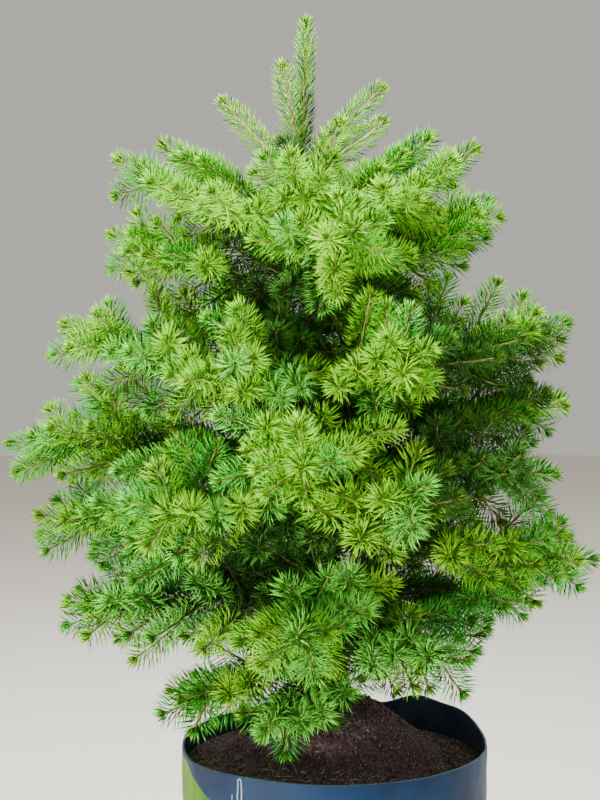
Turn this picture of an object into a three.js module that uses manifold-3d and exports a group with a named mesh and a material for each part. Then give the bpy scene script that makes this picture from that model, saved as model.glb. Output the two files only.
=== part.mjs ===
// A young blue spruce in a soft plastic nursery grow bag.
// Millimetres, +Z up. The origin is the middle of the bag's flat underside.
// A leaning trunk carries bare boughs that each end in a mass of needled twigs, and masses that
// stand straight on the trunk. Every mass grows by one seeded rule and keeps to its own space.
import * as THREE from 'three';
import { mergeVertices } from 'three/addons/utils/BufferGeometryUtils.js';
import Module from 'manifold-3d';

const wasm = await Module();
wasm.setup();

// ---- Driving dimensions ----

// Clearance between two pieces that meet.
const GAP = 0.3;

// Grow bag: a thin welded wall round a flat base, bellied by the compost in it.
const BAG_HEIGHT = 325;
const BAG_RIM_RADIUS = 175;
const BAG_FOOT_RADIUS = 165;
const BAG_BELLY = 4;
const BAG_CORNER = 9;
const BAG_WALL = 2.4;
const BAG_SIDES = 36;
const MOUTH_STEPS = 2;

// Soft folds of the bag's mouth: angle, half width, how far out it leans and how far it rises.
const BAG_FOLDS = [
  { angle: 32, width: 20, out: 3, rise: 9 },
  { angle: 54, width: 11, out: 3, rise: 9 },
  { angle: 68, width: 9, out: -5, rise: -1 },
  { angle: 88, width: 13, out: 3, rise: 13 },
  { angle: 205, width: 20, out: 2, rise: -3 },
  { angle: 310, width: 24, out: 3, rise: 2 },
];
// Depth below the rim over which the folds fade out of the wall.
const FOLD_DEPTH = 70;
const RISE_DEPTH = 22;

// Potting compost: heaped up round the trunk, with a flat spot under it.
const SOIL_BELOW_RIM = 25;
const SOIL_MOUND = 73;
const SOIL_HEAP_WIDTH = 75;
const SOIL_FLAT_RADIUS = 26;
const SOIL_RINGS = [150, 120, 95, 72, 50];
const SOIL_SLACK = 1.6;

// Trunk, from the compost to the foot of the leader.
const TRUNK_HEIGHT = 630;
const TRUNK_LEAN = -37;
const TRUNK_FOOT_RADIUS = 16;
const TRUNK_TIP_RADIUS = 4;
const FLARE_OUT = 4.5;
const FLARE_HEIGHT = 22;
const FLARE_LOBES = 3;
const TRUNK_SIDES = 12;
const TRUNK_RINGS = 13;

// Boughs: bare tapering limbs. Each runs to the share of its reach where its mass begins.
const BOUGH_SHARE = 0.26;
const BOUGH_SIDES = 6;
const BOUGH_RINGS = 2;
const BOUGH_TIP_RADIUS = 3.4;
const BOUGH_RADIUS_PER_REACH = 0.021;
const SAG = 0.05;

// Twigs: a slim three-sided core with a needle drawn out of each face between its rings.
const STEM_RADIUS = 4;
const TWIG_RADIUS = 2.4;
const TWIG_TIP_RADIUS = 1.5;
const NEEDLE_LENGTHS = [24, 17, 11];
const NEEDLE_LEAN = 48;
const END_NEEDLE_LEAN = 30;
const NEEDLE_STEP = 34;
const NEEDLE_TWIST = 25;
const NEEDLE_MARGIN = 2.4;
const NEEDLE_TEST_STEP = 8;
const TWIG_TURN = 25;
const TWIG_BARE = 7;
const ROOT_SHARE = 0.3;

// Where side twigs stand, as shares of the whole bough, and how long they are.
const SIDE_STATIONS = [0.33, 0.51, 0.69];
const SIDE_LENGTH_PER_REACH = 0.7;
const SIDE_LENGTH_LEAST = 12;
const SHORTEST_TWIG = 42;
const TWIG_CURL = 0.16;
const TWIG_LIFT = 0.1;
// The rounds in which side twigs are set: turned to a side, up or down, with the length of each.
const SIDE_ROUNDS = [
  { roll: 0, onward: 0, share: 1, extra: 0, lean: 50 },
  { roll: 180, onward: 0.045, share: 1, extra: 0, lean: 50 },
  { roll: 90, onward: 0.09, share: 0.75, extra: 10, lean: 54, onBoughs: true },
  { roll: -90, onward: 0.135, share: 0.5, extra: 20, lean: 56, everyOther: true },
];
// Half the least distance between twigs of two masses, and the step at which they are tested.
const TWIG_ROOM = 14;
const TEST_STEP = 12;
const ROOT_FREE = 24;

// The crown, whorl by whorl. Each row is one shoot or bough: its azimuth (0 is +X, 90 is +Y), the
// height of its foot above the compost, its reach from the trunk and the rise of its tip.
const TOP_SHOOTS = [
  [238, 604, 46, 112],
  [184, 590, 92, 94],
  [0, 616, 88, 84],
  [40, 602, 124, 74],
  [300, 588, 76, 62],
];
const UPPER_MASSES = [
  [170, 540, 168, 100],
  [198, 512, 216, 98],
  [262, 546, 126, 60],
  [342, 516, 190, 106],
  [18, 536, 150, 116],
  [105, 536, 165, 66],
];
const LOWER_MASSES = [
  [203, 130, 300, 3],
  [262, 148, 255, -28],
  [312, 110, 205, -32],
  [26, 116, 265, -4],
  [112, 146, 275, -5],
  [221, 66, 212, -32],
  [247, 60, 185, -50],
];
const WHORLS = {
  a: [
    [178, 470, 226, 64],
    [285, 490, 180, 40],
    [14, 464, 214, 114],
    [80, 458, 205, 72],
  ],
  b: [
    [197, 347, 284, 82],
    [236, 412, 230, -42],
    [300, 388, 225, 14],
    [352, 365, 280, 68],
    [118, 418, 250, 35],
  ],
  c: [
    [181, 310, 350, -14],
    [266, 328, 280, -38],
    [332, 275, 275, -4],
    [15, 318, 300, 28],
    [80, 332, 262, 22],
  ],
  d: [
    [189, 225, 318, -8],
    [226, 212, 285, 38],
    [292, 192, 255, 78],
    [352, 202, 300, -34],
    [66, 215, 285, 5],
  ],
};
const TOP_BARE_SHARE = 0.1;
const DIRECT_BARE_SHARE = 0.2;
// The leader: this season's upright shoot on the trunk's tip.
const LEADER_HEIGHT = 145;
const LEADER_SWING = 4;

// ---- Finishes ----

const FINISHES = {
  bag: { color: 0x2f4c6b, roughness: 0.45, metalness: 0 },
  soil: { color: 0x2b2128, roughness: 1, metalness: 0 },
  bark: { color: 0x4a3a33, roughness: 0.9, metalness: 0 },
  needles: { color: 0x84b450, roughness: 0.6, metalness: 0 },
};

// ---- Solids ----

// A closed three.js geometry as a solid that can be joined and cut.
function solidOf(geometry) {
  geometry.deleteAttribute('normal');
  geometry.deleteAttribute('uv');
  const merged = mergeVertices(geometry);
  return new wasm.Manifold(
    new wasm.Mesh({
      numProp: 3,
      vertProperties: merged.getAttribute('position').array,
      triVerts: new Uint32Array(merged.index.array),
    }),
  );
}

function geometryOf(solid) {
  const mesh = solid.getMesh();
  const geometry = new THREE.BufferGeometry();
  geometry.setAttribute('position', new THREE.BufferAttribute(mesh.vertProperties, 3));
  geometry.setIndex(new THREE.BufferAttribute(mesh.triVerts, 1));
  geometry.computeVertexNormals();
  return geometry;
}

function namedMesh(name, geometry, finish) {
  const mesh = new THREE.Mesh(geometry, new THREE.MeshStandardMaterial(FINISHES[finish]));
  mesh.name = name;
  return mesh;
}

const radians = THREE.MathUtils.degToRad;
const lerp = THREE.MathUtils.lerp;

// A profile of radius and height turned about the Z axis, then moved point by point.
function turned(profile, sides, moved) {
  const points = profile.map(([radius, height]) => new THREE.Vector2(radius, height));
  const geometry = new THREE.LatheGeometry(points, sides).rotateX(Math.PI / 2);
  const position = geometry.getAttribute('position');
  const point = new THREE.Vector3();
  for (let i = 0; i < position.count; i += 1) {
    moved(point.fromBufferAttribute(position, i));
    position.setXYZ(i, point.x, point.y, point.z);
  }
  return geometry;
}

// ---- Bag and compost ----

const SOIL_EDGE = BAG_HEIGHT - SOIL_BELOW_RIM;
const SOIL_TOP = SOIL_EDGE + SOIL_MOUND;

// Height of the compost's surface at a distance from its middle.
function soilHeight(radius) {
  const outward = Math.max(0, radius - SOIL_FLAT_RADIUS) / SOIL_HEAP_WIDTH;
  return SOIL_EDGE + SOIL_MOUND * Math.exp(-(outward ** 2));
}

// Heights of the wall's rings up to the compost's edge, which the compost shares.
const FILLED_HEIGHTS = [BAG_CORNER, BAG_HEIGHT * 0.4, BAG_HEIGHT - FOLD_DEPTH, SOIL_EDGE];

// The wall's outer radius before its folds.
function bagRadius(height) {
  const share = height / BAG_HEIGHT;
  return lerp(BAG_FOOT_RADIUS, BAG_RIM_RADIUS, share) + BAG_BELLY * Math.sin(Math.PI * share);
}

// Pushes a point of the bag or of what fills it by the folds at its angle.
function foldBag(point) {
  const radius = Math.hypot(point.x, point.y);
  if (radius < 1e-6) return;
  const angle = THREE.MathUtils.radToDeg(Math.atan2(point.y, point.x));
  const low = BAG_HEIGHT - point.z;
  const nearWall = THREE.MathUtils.smoothstep(radius / BAG_RIM_RADIUS, 0.6, 0.9);
  const lean = nearWall * Math.max(0, 1 - low / FOLD_DEPTH) ** 2;
  const lift = nearWall * Math.max(0, 1 - low / RISE_DEPTH);
  let out = 0;
  for (const fold of BAG_FOLDS) {
    const turn = THREE.MathUtils.euclideanModulo(angle - fold.angle + 180, 360) - 180;
    const near = Math.exp(-((turn / fold.width) ** 2));
    out += fold.out * near * lean;
    point.z += fold.rise * near * lift;
  }
  point.x *= 1 + out / radius;
  point.y *= 1 + out / radius;
}

function growBag() {
  const heights = [...FILLED_HEIGHTS];
  for (let i = 1; i <= MOUTH_STEPS; i += 1) heights.push(lerp(SOIL_EDGE, BAG_HEIGHT, i / MOUTH_STEPS));
  const outer = [[BAG_FOOT_RADIUS - BAG_CORNER, 0]];
  const inner = [];
  for (const height of heights) {
    outer.push([bagRadius(height), height]);
    inner.unshift([bagRadius(height) - BAG_WALL, height]);
  }
  const floor = [
    [BAG_FOOT_RADIUS - BAG_CORNER, BAG_WALL],
    [0, BAG_WALL],
  ];
  return turned([[0, 0], ...outer, ...inner, ...floor], BAG_SIDES, foldBag);
}

function pottingSoil() {
  const profile = [
    [0, BAG_WALL + GAP],
    [BAG_FOOT_RADIUS - BAG_CORNER - GAP, BAG_WALL + GAP],
  ];
  for (const height of FILLED_HEIGHTS) profile.push([bagRadius(height) - BAG_WALL - SOIL_SLACK, height]);
  for (const radius of SOIL_RINGS) profile.push([radius, soilHeight(radius)]);
  profile.push([SOIL_FLAT_RADIUS, SOIL_TOP], [0, SOIL_TOP]);
  return turned(profile, BAG_SIDES, foldBag);
}

// ---- Trunk and boughs, in heights above the compost ----

// The middle of the trunk at a height.
function trunkMiddle(height) {
  return new THREE.Vector3((TRUNK_LEAN * height) / TRUNK_HEIGHT, 0, height);
}

function trunkRadius(height) {
  const shaft = lerp(TRUNK_FOOT_RADIUS, TRUNK_TIP_RADIUS, Math.min(1, height / TRUNK_HEIGHT));
  return shaft + FLARE_OUT * Math.exp(-height / FLARE_HEIGHT);
}

// The trunk, grown all round by a margin: with none it is the trunk itself.
function trunk(margin) {
  const profile = [[0, -margin]];
  for (let i = 0; i <= TRUNK_RINGS; i += 1) {
    const height = TRUNK_HEIGHT * (i / TRUNK_RINGS) ** 1.7;
    const outside = i === 0 ? -margin : i === TRUNK_RINGS ? margin : 0;
    profile.push([trunkRadius(height) + margin, height + outside]);
  }
  profile.push([0, TRUNK_HEIGHT + margin]);
  return turned(profile, TRUNK_SIDES, (point) => {
    const angle = Math.atan2(point.y, point.x);
    const lobe = 0.14 * Math.cos(FLARE_LOBES * angle) * Math.exp(-point.z / FLARE_HEIGHT / 2);
    point.x *= 1 + lobe;
    point.y *= 1 + lobe;
    point.x += (TRUNK_LEAN * point.z) / TRUNK_HEIGHT;
  });
}

// The middle line of a shoot or bough from the trunk's middle to its tip.
function boughLine([azimuth, height, reach, rise]) {
  const root = trunkMiddle(height);
  const out = new THREE.Vector3(Math.cos(radians(azimuth)), Math.sin(radians(azimuth)), 0);
  const middle = root.clone().addScaledVector(out, reach / 2);
  middle.z += rise / 2 - SAG * reach;
  const tip = root.clone().addScaledVector(out, reach);
  tip.z += rise;
  return new THREE.QuadraticBezierCurve3(root, middle, tip);
}

function firstPart(line, share) {
  const middle = line.v0.clone().lerp(line.v1, share);
  return new THREE.QuadraticBezierCurve3(line.v0, middle, line.getPoint(share));
}

function lastPart(line, share) {
  const middle = line.v1.clone().lerp(line.v2, share);
  return new THREE.QuadraticBezierCurve3(line.getPoint(share), middle, line.v2);
}

// A point of a line with its direction, and two directions square to it: side x up = along.
function frameAt(line, share) {
  const along = line.getTangent(share);
  const whole = line.v2.clone().sub(line.v0).normalize();
  const reference = Math.abs(whole.z) > 0.9 ? new THREE.Vector3(1, 0, 0) : new THREE.Vector3(0, 0, 1);
  const side = reference.cross(along).normalize();
  return { point: line.getPoint(share), along, side, up: along.clone().cross(side) };
}

// A bare limb: a round rod bent along a line, tapering from root to tip, cut square at both ends.
function limb(line, rootRadius, tipRadius) {
  const geometry = new THREE.CylinderGeometry(1, 1, 1, BOUGH_SIDES, BOUGH_RINGS);
  const position = geometry.getAttribute('position');
  for (let i = 0; i < position.count; i += 1) {
    const share = position.getY(i) + 0.5;
    const radius = lerp(rootRadius, tipRadius, share);
    const { point, side, up } = frameAt(line, share);
    point.addScaledVector(up, position.getX(i) * radius);
    point.addScaledVector(side, position.getZ(i) * radius);
    position.setXYZ(i, point.x, point.y, point.z);
  }
  return geometry;
}

// ---- Growth rule ----

// Repeatable random draws.
class Seeded {
  constructor(seed) {
    this.state = (seed * 7919 + 104729) % 2147483647;
    for (let i = 0; i < 3; i += 1) this.next();
  }

  next() {
    this.state = (this.state * 16807) % 2147483647;
    return this.state / 2147483647;
  }

  spread(amount) {
    return (2 * this.next() - 1) * amount;
  }
}

// What holds a place in the crown: points along limbs and twigs, each with a radius and an owner.
const places = [];

function pointsAlong(line, length) {
  const count = Math.max(2, Math.round(length / TEST_STEP));
  return Array.from({ length: count + 1 }, (_, i) => line.getPoint(i / count));
}

function isClear(point, radius, owner) {
  return places.every((p) => p.owner === owner || p.point.distanceTo(point) >= radius + p.radius);
}

// Whether a point keeps off the bag's rim, its wall and the compost by a margin.
function clearsBag(point, margin) {
  const rimTop = BAG_HEIGHT - SOIL_TOP + 16;
  const radius = Math.hypot(point.x, point.y);
  if (Math.abs(radius - BAG_RIM_RADIUS) < margin + 8 && point.z < rimTop + margin) return false;
  if (radius < BAG_RIM_RADIUS && point.z < soilHeight(radius) - SOIL_TOP + margin + 3) return false;
  return point.z > -180;
}

// A twig that leaves a parent line: lean is its angle to the parent, roll turns it about it.
function sideLine(parent, share, roll, lean, length) {
  const { point, along, side, up } = frameAt(parent, share);
  const out = along.clone().multiplyScalar(Math.cos(radians(lean)));
  out.addScaledVector(side, Math.cos(radians(roll)) * Math.sin(radians(lean)));
  out.addScaledVector(up, Math.sin(radians(roll)) * Math.sin(radians(lean)));
  const middle = point.clone().addScaledVector(out, length / 2);
  out.addScaledVector(along, TWIG_CURL).add(new THREE.Vector3(0, 0, TWIG_LIFT)).normalize();
  const tip = middle.clone().addScaledVector(out, length / 2);
  return new THREE.QuadraticBezierCurve3(point, middle, tip);
}

// Sets a side twig in its mass if there is room for it, shortened where it has to be.
function setTwig(mass, line, stemShare) {
  for (const share of [1, 0.8, 0.62]) {
    const shorter = new THREE.QuadraticBezierCurve3(
      line.v0,
      line.v0.clone().lerp(line.v1, share),
      line.v0.clone().lerp(line.v2, share),
    );
    const length = shorter.getLength();
    if (length < SHORTEST_TWIG) return;
    const points = pointsAlong(shorter, length).filter((p) => p.distanceTo(line.v0) > ROOT_FREE);
    if (points.every((p) => isClear(p, TWIG_ROOM, mass.name) && clearsBag(p, TWIG_ROOM))) {
      places.push(...points.map((point) => ({ point, radius: TWIG_ROOM, owner: mass.name })));
      const rootRadius = ROOT_SHARE * lerp(STEM_RADIUS, TWIG_TIP_RADIUS, stemShare);
      mass.twigs.push({ line: shorter, length, radius: TWIG_RADIUS, rootRadius, bare: TWIG_BARE });
      return;
    }
  }
}

// A mass with its stem, which runs along the last part of a line.
function massOn(name, row, kind, bareShare) {
  const whole = boughLine(row);
  const start = kind === 'bough' ? bareShare + GAP / whole.getLength() : 0;
  const line = start > 0 ? lastPart(whole, start) : whole;
  const length = line.getLength();
  const bare = kind === 'bough' ? 0 : bareShare * length;
  const stem = { line, length, radius: STEM_RADIUS, rootRadius: STEM_RADIUS, bare };
  return { name, kind, whole, reach: row[2], startShare: start, stem, twigs: [] };
}

// The whole crown: every mass with the lines of its twigs.
function growCrown() {
  const masses = [];
  const leaderFoot = trunkMiddle(TRUNK_HEIGHT + GAP);
  const leaderTip = leaderFoot.clone().add(new THREE.Vector3(LEADER_SWING, 0, LEADER_HEIGHT));
  const leaderLine = new THREE.QuadraticBezierCurve3(
    leaderFoot,
    leaderFoot.clone().lerp(leaderTip, 0.5),
    leaderTip,
  );
  const leaderStem = {
    line: leaderLine,
    length: leaderLine.getLength(),
    radius: STEM_RADIUS,
    rootRadius: STEM_RADIUS,
    bare: 0,
  };
  masses.push({ name: 'leader_shoot', kind: 'top', stem: leaderStem, twigs: [] });
  TOP_SHOOTS.forEach((row, i) => masses.push(massOn(`top_shoot_${i + 1}`, row, 'top', TOP_BARE_SHARE)));
  UPPER_MASSES.forEach((row, i) => {
    masses.push(massOn(`upper_foliage_${i + 1}`, row, 'direct', DIRECT_BARE_SHARE));
  });
  LOWER_MASSES.forEach((row, i) => {
    masses.push(massOn(`lower_foliage_${i + 1}`, row, 'direct', DIRECT_BARE_SHARE));
  });
  for (const [whorl, rows] of Object.entries(WHORLS)) {
    rows.forEach((row, i) => {
      masses.push(massOn(`foliage_${whorl}${i + 1}`, row, 'bough', BOUGH_SHARE));
    });
  }
  for (let height = 0; height <= TRUNK_HEIGHT; height += TEST_STEP) {
    places.push({ point: trunkMiddle(height), radius: trunkRadius(height), owner: 'trunk' });
  }
  for (const mass of masses) {
    if (mass.kind === 'bough') {
      const bare = firstPart(mass.whole, BOUGH_SHARE);
      for (const point of pointsAlong(bare, bare.getLength())) {
        places.push({ point, radius: BOUGH_TIP_RADIUS + 1, owner: mass.name });
      }
    }
    for (const point of pointsAlong(mass.stem.line, mass.stem.length)) {
      places.push({ point, radius: TWIG_ROOM, owner: mass.name });
    }
  }
  SIDE_ROUNDS.forEach((round, r) => {
    SIDE_STATIONS.forEach((station, k) => {
      masses.forEach((mass, n) => {
        if (mass.kind === 'top') return;
        if (round.onBoughs && mass.kind !== 'bough') return;
        if (round.everyOther && (k + n + r) % 2) return;
        const draw = new Seeded(1000 * n + 10 * k + r);
        const place = station + round.onward;
        const share = (place - mass.startShare) / (1 - mass.startShare);
        const room = (SIDE_LENGTH_PER_REACH * mass.reach * (1 - place) + SIDE_LENGTH_LEAST) * round.share;
        const length = (room + round.extra) * (1 + draw.spread(0.12));
        const roll = round.roll + draw.spread(24);
        const lean = round.lean + draw.spread(8);
        setTwig(mass, sideLine(mass.stem.line, share, roll, lean, length), share);
      });
    });
  });
  return masses;
}

// ---- Needled twigs ----

// Points along everything that a needle has to keep off: its own twig is told by its line.
function crownPoints(masses) {
  const points = [];
  const add = (line, radius) => {
    const count = Math.max(2, Math.round(line.getLength() / NEEDLE_TEST_STEP));
    for (let i = 0; i <= count; i += 1) points.push({ point: line.getPoint(i / count), radius, line });
  };
  for (let height = 0; height <= TRUNK_HEIGHT; height += NEEDLE_TEST_STEP) {
    points.push({ point: trunkMiddle(height), radius: trunkRadius(height), line: null });
  }
  for (const mass of masses) {
    if (mass.kind === 'bough') add(firstPart(mass.whole, BOUGH_SHARE), BOUGH_TIP_RADIUS);
    for (const twig of [mass.stem, ...mass.twigs]) add(twig.line, 0);
  }
  return points;
}

// How long a needle can be before it would come nearer to another twig, a limb or the bag than
// to its own twig: full length, shorter, or none.
function needleReach(foot, direction, line, crown) {
  return NEEDLE_LENGTHS.find((length) => {
    const tip = foot.clone().addScaledVector(direction, length);
    if (!clearsBag(tip, NEEDLE_MARGIN)) return false;
    let own = Infinity;
    let other = Infinity;
    for (const place of crown) {
      const distance = place.point.distanceTo(tip) - place.radius;
      if (place.line === line) own = Math.min(own, distance);
      else other = Math.min(other, place.radius > 0 && distance > NEEDLE_MARGIN * 2 ? Infinity : distance);
    }
    return other >= own + NEEDLE_MARGIN || other === Infinity;
  }) ?? 0;
}

// Where the rings of a twig's core stand, as shares of its line: its bare foot is one long step.
function ringShares(twig) {
  const steps = Math.max(1, Math.round((twig.length - twig.bare) / NEEDLE_STEP));
  const first = twig.bare / twig.length;
  const shares = Array.from({ length: steps }, (_, i) => lerp(first, 1, i / steps));
  return twig.bare > 0 ? [0, ...shares] : shares;
}

// One twig as a closed body: the faces of its core between two rings are drawn out into needles,
// and the core ends in a point.
function needledTwig(twig, turn, crown) {
  const shares = ringShares(twig);
  const rings = shares.length;
  const points = [];
  const faces = [[0, 2, 1]];
  shares.forEach((share, i) => {
    const { point, side, up } = frameAt(twig.line, share);
    const radius = i === 0 ? twig.rootRadius : lerp(twig.radius, TWIG_TIP_RADIUS, share);
    for (let k = 0; k < 3; k += 1) {
      const angle = radians(120 * k + NEEDLE_TWIST * i + turn);
      const corner = point.clone().addScaledVector(side, radius * Math.cos(angle));
      points.push(corner.addScaledVector(up, radius * Math.sin(angle)));
    }
  });
  const end = points.push(twig.line.getPoint(1)) - 1;
  for (let i = 0; i < rings; i += 1) {
    const last = i === rings - 1;
    const { along } = frameAt(twig.line, (shares[i] + (shares[i + 1] ?? 1)) / 2);
    const lean = radians(last ? END_NEEDLE_LEAN : NEEDLE_LEAN);
    for (let k = 0; k < 3; k += 1) {
      const next = (k + 1) % 3;
      const low = [3 * i + k, 3 * i + next];
      const loop = last ? [...low, end] : [...low, 3 * (i + 1) + next, 3 * (i + 1) + k];
      const foot = loop.reduce((sum, j) => sum.add(points[j]), new THREE.Vector3());
      foot.divideScalar(loop.length);
      const outward = points[low[1]].clone().sub(points[low[0]]).cross(along).normalize();
      const direction = along.clone().multiplyScalar(Math.cos(lean));
      direction.addScaledVector(outward, Math.sin(lean));
      const bare = i === 0 && twig.bare > 0;
      const length = bare ? 0 : needleReach(foot, direction, twig.line, crown);
      if (length > 0) {
        const tip = points.push(foot.addScaledVector(direction, length)) - 1;
        loop.forEach((j, m) => faces.push([j, loop[(m + 1) % loop.length], tip]));
      } else {
        for (let m = 2; m < loop.length; m += 1) faces.push([loop[0], loop[m - 1], loop[m]]);
      }
    }
  }
  const geometry = new THREE.BufferGeometry().setFromPoints(points);
  geometry.setIndex(faces.flat());
  return solidOf(geometry);
}

// A mass as one body: its stem with every side twig sunk into it, cut clear of the trunk.
function foliage(mass, crown, clearOfTrunk) {
  let body = needledTwig(mass.stem, 0, crown);
  mass.twigs.forEach((twig, i) => {
    body = body.add(needledTwig(twig, TWIG_TURN * i, crown));
  });
  if (mass.kind !== 'bough') body = body.subtract(clearOfTrunk);
  return geometryOf(body);
}

// ---- Assembly ----

const pot = new THREE.Group();
pot.add(namedMesh('grow_bag', growBag(), 'bag'));
pot.add(namedMesh('potting_soil', pottingSoil(), 'soil'));

const tree = new THREE.Group();
tree.position.z = SOIL_TOP + GAP;
tree.add(namedMesh('trunk', trunk(0), 'bark'));
const clearOfTrunk = solidOf(trunk(GAP));
const masses = growCrown();
const crown = crownPoints(masses);
for (const mass of masses) {
  if (mass.kind === 'bough') {
    const bare = firstPart(mass.whole, BOUGH_SHARE);
    const bough = solidOf(limb(bare, mass.reach * BOUGH_RADIUS_PER_REACH, BOUGH_TIP_RADIUS));
    const name = mass.name.replace('foliage', 'bough');
    tree.add(namedMesh(name, geometryOf(bough.subtract(clearOfTrunk)), 'bark'));
  }
  tree.add(namedMesh(mass.name, foliage(mass, crown, clearOfTrunk), 'needles'));
}

const plant = new THREE.Group();
plant.add(pot, tree);

export default plant;
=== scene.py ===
# %% [markdown]
# # A young blue spruce in a nursery grow bag
#
# This lesson dresses a tree for a close look. The construction model gives the trunk, the bare
# boughs, the bag and the space of every mass of foliage. Here each mass grows again by the same
# seeded rule, carried on to finer twigs, and every twig gets its needles, its bark and its bud.
# All sizes of the plant are in millimetres, and a mesh is made in metres only at the very end.

# %% Load the construction model
import math

import bpy
import numpy as np
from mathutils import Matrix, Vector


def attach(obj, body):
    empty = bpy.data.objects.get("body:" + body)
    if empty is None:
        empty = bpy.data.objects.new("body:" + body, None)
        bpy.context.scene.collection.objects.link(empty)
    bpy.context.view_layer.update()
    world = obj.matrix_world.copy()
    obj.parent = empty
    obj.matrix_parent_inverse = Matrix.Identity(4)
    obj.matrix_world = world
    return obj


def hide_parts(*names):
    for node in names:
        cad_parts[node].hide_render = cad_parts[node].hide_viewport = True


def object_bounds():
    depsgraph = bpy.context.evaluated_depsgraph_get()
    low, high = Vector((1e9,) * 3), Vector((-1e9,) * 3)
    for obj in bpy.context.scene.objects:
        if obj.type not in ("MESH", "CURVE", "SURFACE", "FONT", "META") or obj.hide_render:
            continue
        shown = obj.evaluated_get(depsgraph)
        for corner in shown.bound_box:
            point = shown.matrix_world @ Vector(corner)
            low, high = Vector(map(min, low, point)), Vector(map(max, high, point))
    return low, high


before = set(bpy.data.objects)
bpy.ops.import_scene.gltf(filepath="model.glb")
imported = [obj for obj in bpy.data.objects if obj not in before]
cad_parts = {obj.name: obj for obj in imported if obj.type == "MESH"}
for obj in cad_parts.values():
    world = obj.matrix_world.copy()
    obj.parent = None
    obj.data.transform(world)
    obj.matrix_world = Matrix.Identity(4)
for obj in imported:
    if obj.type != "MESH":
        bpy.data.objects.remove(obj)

CAD_BOX = np.array(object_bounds())
MM = 0.001
print("construction box, mm:", [round(v / MM) for corner in CAD_BOX for v in corner])

# %% [markdown]
# ## Small helpers
#
# Blender's operators act on whatever is selected, so everything is deselected before a piece is
# started. A finished piece rides on the model's one body, and the nodes that it stands for are
# hidden.
# Colours are written as the hex values that a paint chart gives, and turned to linear light once.

# %% Helpers for pieces and colours
BODY = "root"


def deselect_all():
    """Leaves edit mode and clears the selection."""
    if bpy.context.object and bpy.context.object.mode != "OBJECT":
        bpy.ops.object.mode_set(mode="OBJECT")
    bpy.ops.object.select_all(action="DESELECT")


def work_on(piece):
    """Makes one piece the selected and active one."""
    deselect_all()
    piece.select_set(True)
    bpy.context.view_layer.objects.active = piece


def settle(piece):
    """Writes a piece's place, turn and scale into its mesh."""
    work_on(piece)
    bpy.ops.object.transform_apply(location=True, rotation=True, scale=True)


def apply_modifiers(piece):
    """Turns a piece's modifiers, in their order, into plain mesh."""
    work_on(piece)
    for modifier in list(piece.modifiers):
        bpy.ops.object.modifier_apply(modifier=modifier.name)


def dress(piece, slot, replaced, *materials):
    """Gives a piece its materials and its body, and hides the nodes that it stands for. The slot is
    not used.
    """
    for material in materials:
        piece.data.materials.append(material)
    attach(piece, BODY)
    if replaced:
        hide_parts(*replaced)
    print(piece.name, len(piece.data.polygons), "faces")


def linear(hex_colour):
    """An sRGB hex colour as linear red, green, blue and alpha."""
    parts = [int(hex_colour[i : i + 2], 16) / 255 for i in (1, 3, 5)]
    bent = [p / 12.92 if p <= 0.04045 else ((p + 0.055) / 1.055) ** 2.4 for p in parts]
    return (*bent, 1.0)


def add_node(tree, kind, settings=None, links=None):
    """Adds one node, sets its inputs or properties by name or number, and links its inputs."""
    node = tree.nodes.new(kind)
    for name, value in (settings or {}).items():
        if isinstance(name, int) or name in node.inputs:
            node.inputs[name].default_value = value
        else:
            setattr(node, name, value)
    for name, source in (links or {}).items():
        tree.links.new(source, node.inputs[name])
    return node


def new_material(name, **surface):
    """A material with one Principled shader, whose sockets are set by name."""
    material = bpy.data.materials.new(name)
    material.use_nodes = True
    shader = material.node_tree.nodes["Principled BSDF"]
    for socket, value in surface.items():
        shader.inputs[socket.replace("_", " ")].default_value = value
    return material, material.node_tree, shader


def mesh_piece(name, vertices, faces, tones=None, smooth=False):
    """A joined mesh from arrays of points in millimetres and triangles."""
    mesh = bpy.data.meshes.new(name)
    mesh.vertices.add(len(vertices))
    mesh.vertices.foreach_set("co", (np.asarray(vertices, dtype=np.float64) * MM).ravel())
    mesh.loops.add(len(faces) * 3)
    mesh.loops.foreach_set("vertex_index", np.asarray(faces, dtype=np.int32).ravel())
    mesh.polygons.add(len(faces))
    mesh.polygons.foreach_set("loop_start", np.arange(0, len(faces) * 3, 3, dtype=np.int32))
    if tones is not None:
        mesh.polygons.foreach_set("material_index", np.asarray(tones, dtype=np.int32))
    mesh.update(calc_edges=True)
    mesh.validate()
    if smooth:
        mesh.polygons.foreach_set("use_smooth", np.ones(len(faces), dtype=bool))
    piece = bpy.data.objects.new(name, mesh)
    bpy.context.collection.objects.link(piece)
    return piece


# %% [markdown]
# ## Camera, light and floor
#
# The tree stands at eye level, seen from a step away with a short telephoto lens. A strong key
# light half a metre wide hangs in front, high on the left. It brings out the single needles, and
# leaves the inside of the crown in shade, as on a real spruce. The floor is a plain pale disc.

# %% Camera, light and floor
PICTURE_HEIGHT = 800
CAMERA_PLACE = (-40.0, -1600.0, 775.0)
CAMERA_PITCH = 2.0
FOCAL_PIXELS = 1390.0
SENSOR = 36.0

camera_data = bpy.data.cameras.new("camera")
camera_data.sensor_width = SENSOR
camera_data.lens = FOCAL_PIXELS / PICTURE_HEIGHT * SENSOR
camera = bpy.data.objects.new("camera", camera_data)
camera.location = [v * MM for v in CAMERA_PLACE]
camera.rotation_euler = (math.radians(90 - CAMERA_PITCH), 0, 0)
bpy.context.collection.objects.link(camera)
bpy.context.scene.camera = camera

LIGHT_AIM = (0.0, 0.0, 0.65)
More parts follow.
